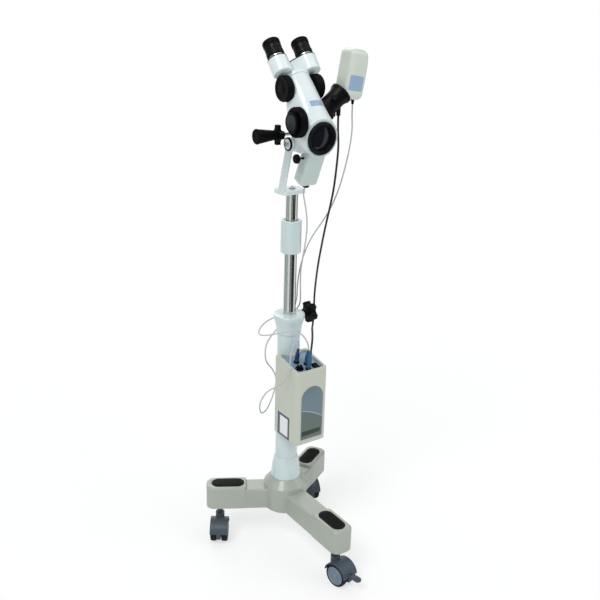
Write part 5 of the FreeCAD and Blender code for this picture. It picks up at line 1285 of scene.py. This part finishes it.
# ================ cords ================
@dataclass
class Cord:
    """A free cord in stretches from each body to the next.

    All stretches but the last end at the points of the route that ends gives.
    """

    name: str
    diameter: float
    finish: Finish
    route: list[Point]
    bodies: tuple[str, ...]
    ends: tuple[int, ...]
    bends: tuple[Pair, ...]

    def build(self) -> None:
        starts = [0, *(end + 1 for end in self.ends)]
        for number, (start, end) in enumerate(zip(starts, [*self.ends, len(self.route) - 1])):
            self._stretch(number, self._points(start, end))

    def _points(self, start: int, end: int) -> list[Vector]:
        """A stretch's control points; it meets its neighbours halfway between two points of the route.

        Args:
            start: number of its first point.
            end: number of its last point.
        Returns:
            The points in millimetres.
        """
        route = [Vector(p) for p in self.route]
        points = route[start:end + 1]
        if start > 0:
            points.insert(0, (route[start - 1] + route[start]) / 2)
        if end < len(route) - 1:
            points.append((route[end] + route[end + 1]) / 2)
        return points

    def _tube(self, points: list[Vector]) -> tuple[bpy.types.Mesh, list[Point]]:
        """A spline's tube and its middle line.

        Args:
            points: the spline's control points.
        Returns:
            The tube's mesh and the line's points in metres.
        """
        curve = bpy.data.curves.new("route", "CURVE")
        curve.dimensions = "3D"
        spline = curve.splines.new("NURBS")
        spline.points.add(len(points) - 1)
        for control, point in zip(spline.points, points):
            control.co = (*(point * MM), 1.0)
        spline.order_u = 3
        spline.use_endpoint_u = True
        spline.resolution_u = 10
        holder = put("route", curve)
        path = [tuple(v.co) for v in bpy.data.meshes.new_from_object(holder).vertices]
        curve.bevel_depth = self.diameter / 2 * MM
        curve.bevel_resolution = 4
        curve.use_fill_caps = True
        bpy.context.view_layer.update()
        graph = bpy.context.evaluated_depsgraph_get()
        mesh = bpy.data.meshes.new_from_object(holder.evaluated_get(graph))
        bpy.data.objects.remove(holder)
        return mesh, path

    def _stretch(self, number: int, points: list[Vector]) -> None:
        """One stretch as a mesh tube that follows its spline.

        Args:
            number: counted from the head.
            points: its control points.
        """
        mesh, path = self._tube(points)
        mesh.materials.clear()
        mesh.materials.append(self.finish.material())
        mesh.shade_smooth()
        piece = put(f"{self.name}_cord_{number + 1}", mesh)
        upper, lower = self.bodies[number:number + 2]
        high, low = ((points[0].x * MM, points[0].y * MM, height * MM) for height in self.bends[number])
        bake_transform(piece)
        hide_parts(self.name + "_cord")
        last = number == len(self.bends) - 1
        length = sum(math.dist(a, b) for a, b in zip(path, path[1:]))
        self.diameter * MM
        LOG.info("%s cord, stretch %d: %.0f mm", self.name, number + 1, length * 1000)


def cords(box: PowerBox) -> list[Cord]:
    """The three cords, from the head down to their plugs.

    Args:
        box: the power box, whose sockets they end in.
    Returns:
        The cords.
    """
    def lead(socket: Pair, plug: float, rise: float) -> list[Point]:
        """The last two points of a route: above the plug and on its tip."""
        return [box.panel(socket, box.plug_lift + plug + rise), box.panel(socket, box.plug_lift + plug)]

    lamp = [(0, -46.56, 876.15), (0, -40.16, 861.49), (8, -37, 838), (15, -35, 811), (20, -31, 780),
            (22, -24, 746), (23, -14, 711), (25, -4, 676), (30, 3, 640), (36, 9, 610), (42, 20, 582),
            (38, 38, 563), (16, 54, 553), (-16, 56, 548), (-46, 42, 544), (-70, 18, 541), (-80, -8, 544),
            (-66, -32, 552), (-42, -50, 561), (-16, -63, 562), *lead(box.lamp_socket, box.plug_length, 16.0)]
    camera = [(112, -50, 1038), (112, -50, 1014), (115, -50, 986), (113, -47, 950), (108, -43, 912),
              (98, -38, 864), (83, -31, 818), (62, -24, 783), (43, -15, 752), (31, -5, 712), (25, 3, 668),
              (26, 9, 630), (33, 19, 600), (35, 35, 568), (17, 48, 538), (-12, 46, 516), (-38, 33, 503),
              (-51, 19, 485), (-42, 27, 457), (-16, 38, 430), (-2, 41, 399), (-13, 40, 361), (-41, 22, 339),
              (-73, -1, 346), (-87, -16, 384), (-79, -34, 420), (-63, -55, 437), (-53, -70, 454),
              (-50, -78, 484), (-45, -76, 516), (-34, -70, 541),
              *lead(box.camera_socket, box.plug_length, 22.0)]
    video = [(76.49, -50, 1016.45), (76.5, -50, 992), (80, -51, 955), (79, -48, 908), (77, -44, 860),
             (72, -38, 815), (67, -32, 775), (66, -22, 730), (68, -9, 684), (72, 3, 639), (75, 11, 596),
             (75, 9, 562), (64, -2, 538), (49, -20, 535), (34, -44, 547), (16, -67, 561),
             *lead(box.video_socket, box.plug_length + box.video_extra, 30.0)]
    return [
        Cord("lamp", 3.0, CORD_GREY, lamp, ("head", "carrier", "mast", "root"), (2, 4),
             ((876.0, 830.0), (826.0, 765.0), (762.0, 585.0))),
        Cord("camera", 3.0, CORD_GREY, camera, ("camera", "head", "carrier", "mast", "root"), (1, 3, 5),
             ((1034.0, 1001.0), (999.0, 932.0), (930.0, 842.0), (840.0, 585.0))),
        Cord("video", 4.5, CORD_BLACK, video, ("head", "carrier", "mast", "root"), (2, 4),
             ((1012.0, 932.0), (930.0, 838.0), (836.0, 585.0)))]


# ================ the studio ================
@dataclass
class Studio:
    """Camera, light, floor and the cards that metal reflects."""

    lens: float = 53.24
    eye: Point = (-1036.9, -1521.2, 1297.5)
    right: Point = (0.81915, -0.57358, 0.0)
    up: Point = (0.20056, 0.28642, 0.93687)
    forward: Point = (0.53737, 0.76744, -0.34966)
    roll: float = 1.587
    suns: tuple[tuple[str, Point, float, float], ...] = (
        ("key", (38.0, 0.0, -62.0), 1.25, 24.0), ("fill", (52.0, 0.0, 35.0), 0.55, 45.0),
        ("rim", (60.0, 0.0, 165.0), 0.5, 35.0))
    floor_shadow: float = 0.42
    floor_glow: float = 1.07
    floor_reach: float = 60.0
    sky: Point = (0.50, 0.515, 0.525)
    cards: tuple[Point, ...] = ((50.0, 28.0, 0.05), (6.0, 14.0, 0.28), (-66.0, 24.0, 0.55),
                                (-105.0, 9.0, 0.10), (138.0, 16.0, 0.06))
    card_reach: float = 1.3
    card_height: float = 2.2
    card_start: float = -125.0

    def build(self) -> None:
        """Builds the studio."""
        bpy.context.scene.view_settings.view_transform = "Standard"
        self._camera()
        self._floor()
        self._world()
        self._cards()
        for name, angles, strength, spread in self.suns:
            light = bpy.data.lights.new(name, "SUN")
            light.energy, light.angle = strength, math.radians(spread)
            put(name, light).rotation_euler = [math.radians(a) for a in angles]

    def _camera(self) -> None:
        """The camera, from the front left and above."""
        roll = math.radians(self.roll)
        right, up, forward = Vector(self.right), Vector(self.up), Vector(self.forward)
        side = right * math.cos(roll) + up * math.sin(roll)
        top = up * math.cos(roll) - right * math.sin(roll)
        lens = bpy.data.cameras.new("camera")
        lens.lens, lens.sensor_width, lens.clip_end = self.lens, 36.0, 200.0
        camera = put("camera", lens)
        turn = Matrix((side, top, -forward)).transposed().to_4x4()
        camera.matrix_world = Matrix.Translation(Vector(self.eye) * MM) @ turn
        bpy.context.scene.camera = camera

    def _floor(self) -> None:
        """A wide pale floor that keeps the shadow."""
        shape = bmesh.new()
        bmesh.ops.create_grid(shape, x_segments=1, y_segments=1, size=self.floor_reach)
        floor = put("studio_floor", to_mesh(shape))
        made, graph = new_material("studio_floor")
        matt = graph.add("ShaderNodeBsdfDiffuse", inputs={"Color": (0.9, 0.9, 0.9, 1.0)})
        glow = graph.add("ShaderNodeEmission", inputs={"Color": WHITE, "Strength": self.floor_glow})
        seen = graph.add("ShaderNodeLightPath", output="Is Camera Ray") * (1.0 - self.floor_shadow)
        both = graph.add("ShaderNodeMixShader", inputs={0: seen, 1: matt, 2: glow})
        graph.add("ShaderNodeOutputMaterial", inputs={"Surface": both})
        floor.data.materials.append(made)

    def _world(self) -> None:
        """A soft world that metal, glass and the camera see as white."""
        world = bpy.data.worlds.new("studio")
        bpy.context.scene.world = world
        world.use_nodes = True
        graph = Graph(world.node_tree)
        shade: object = (*self.sky, 1.0)
        for ray in ("Is Glossy Ray", "Is Transmission Ray", "Is Camera Ray"):
            shade = graph.mix(graph.add("ShaderNodeLightPath", output=ray), shade, WHITE)
        light = graph.add("ShaderNodeBackground", inputs={"Color": shade, "Strength": 1.0})
        graph.add("ShaderNodeOutputWorld", inputs={"Surface": light})

    def _cards(self) -> None:
        """Dark upright cards round the stand, which only reflections show."""
        for number, (turn, spread, tone) in enumerate(self.cards, 1):
            made, graph = new_material(f"studio_card_{number}")
            matt = graph.add("ShaderNodeBsdfDiffuse", inputs={"Color": (tone, tone * 1.12, tone, 1.0)})
            graph.add("ShaderNodeOutputMaterial", inputs={"Surface": matt})
            angle = math.radians(turn + self.card_start)
            half = self.card_reach * math.tan(math.radians(spread))
            middle = Vector((math.cos(angle), math.sin(angle), 0)) * self.card_reach
            across = Vector((-math.sin(angle), math.cos(angle), 0)) * half
            shape = bmesh.new()
            shape.faces.new([shape.verts.new(middle + across * k + Vector((0, 0, z)))
                             for k, z in ((-1, 0), (1, 0), (1, self.card_height), (-1, self.card_height))])
            card = put(f"studio_card_{number}", to_mesh(shape))
            card.data.materials.append(made)
            for ray in ("camera", "diffuse", "shadow", "transmission"):
                setattr(card, "visible_" + ray, False)


def main() -> None:
    """Builds the studio and every sub-assembly."""
    logging.basicConfig(level=logging.INFO, format="%(name)s: %(message)s")
    Studio().build()
    box = PowerBox()
    box.build()
    for cord in cords(box):
        cord.build()
    for assembly in (Base(), Column(), Head(), Binocular(), Camera()):
        assembly.build()
        LOG.info("%s built", type(assembly).__name__)


if __name__ == "__main__":
    main()
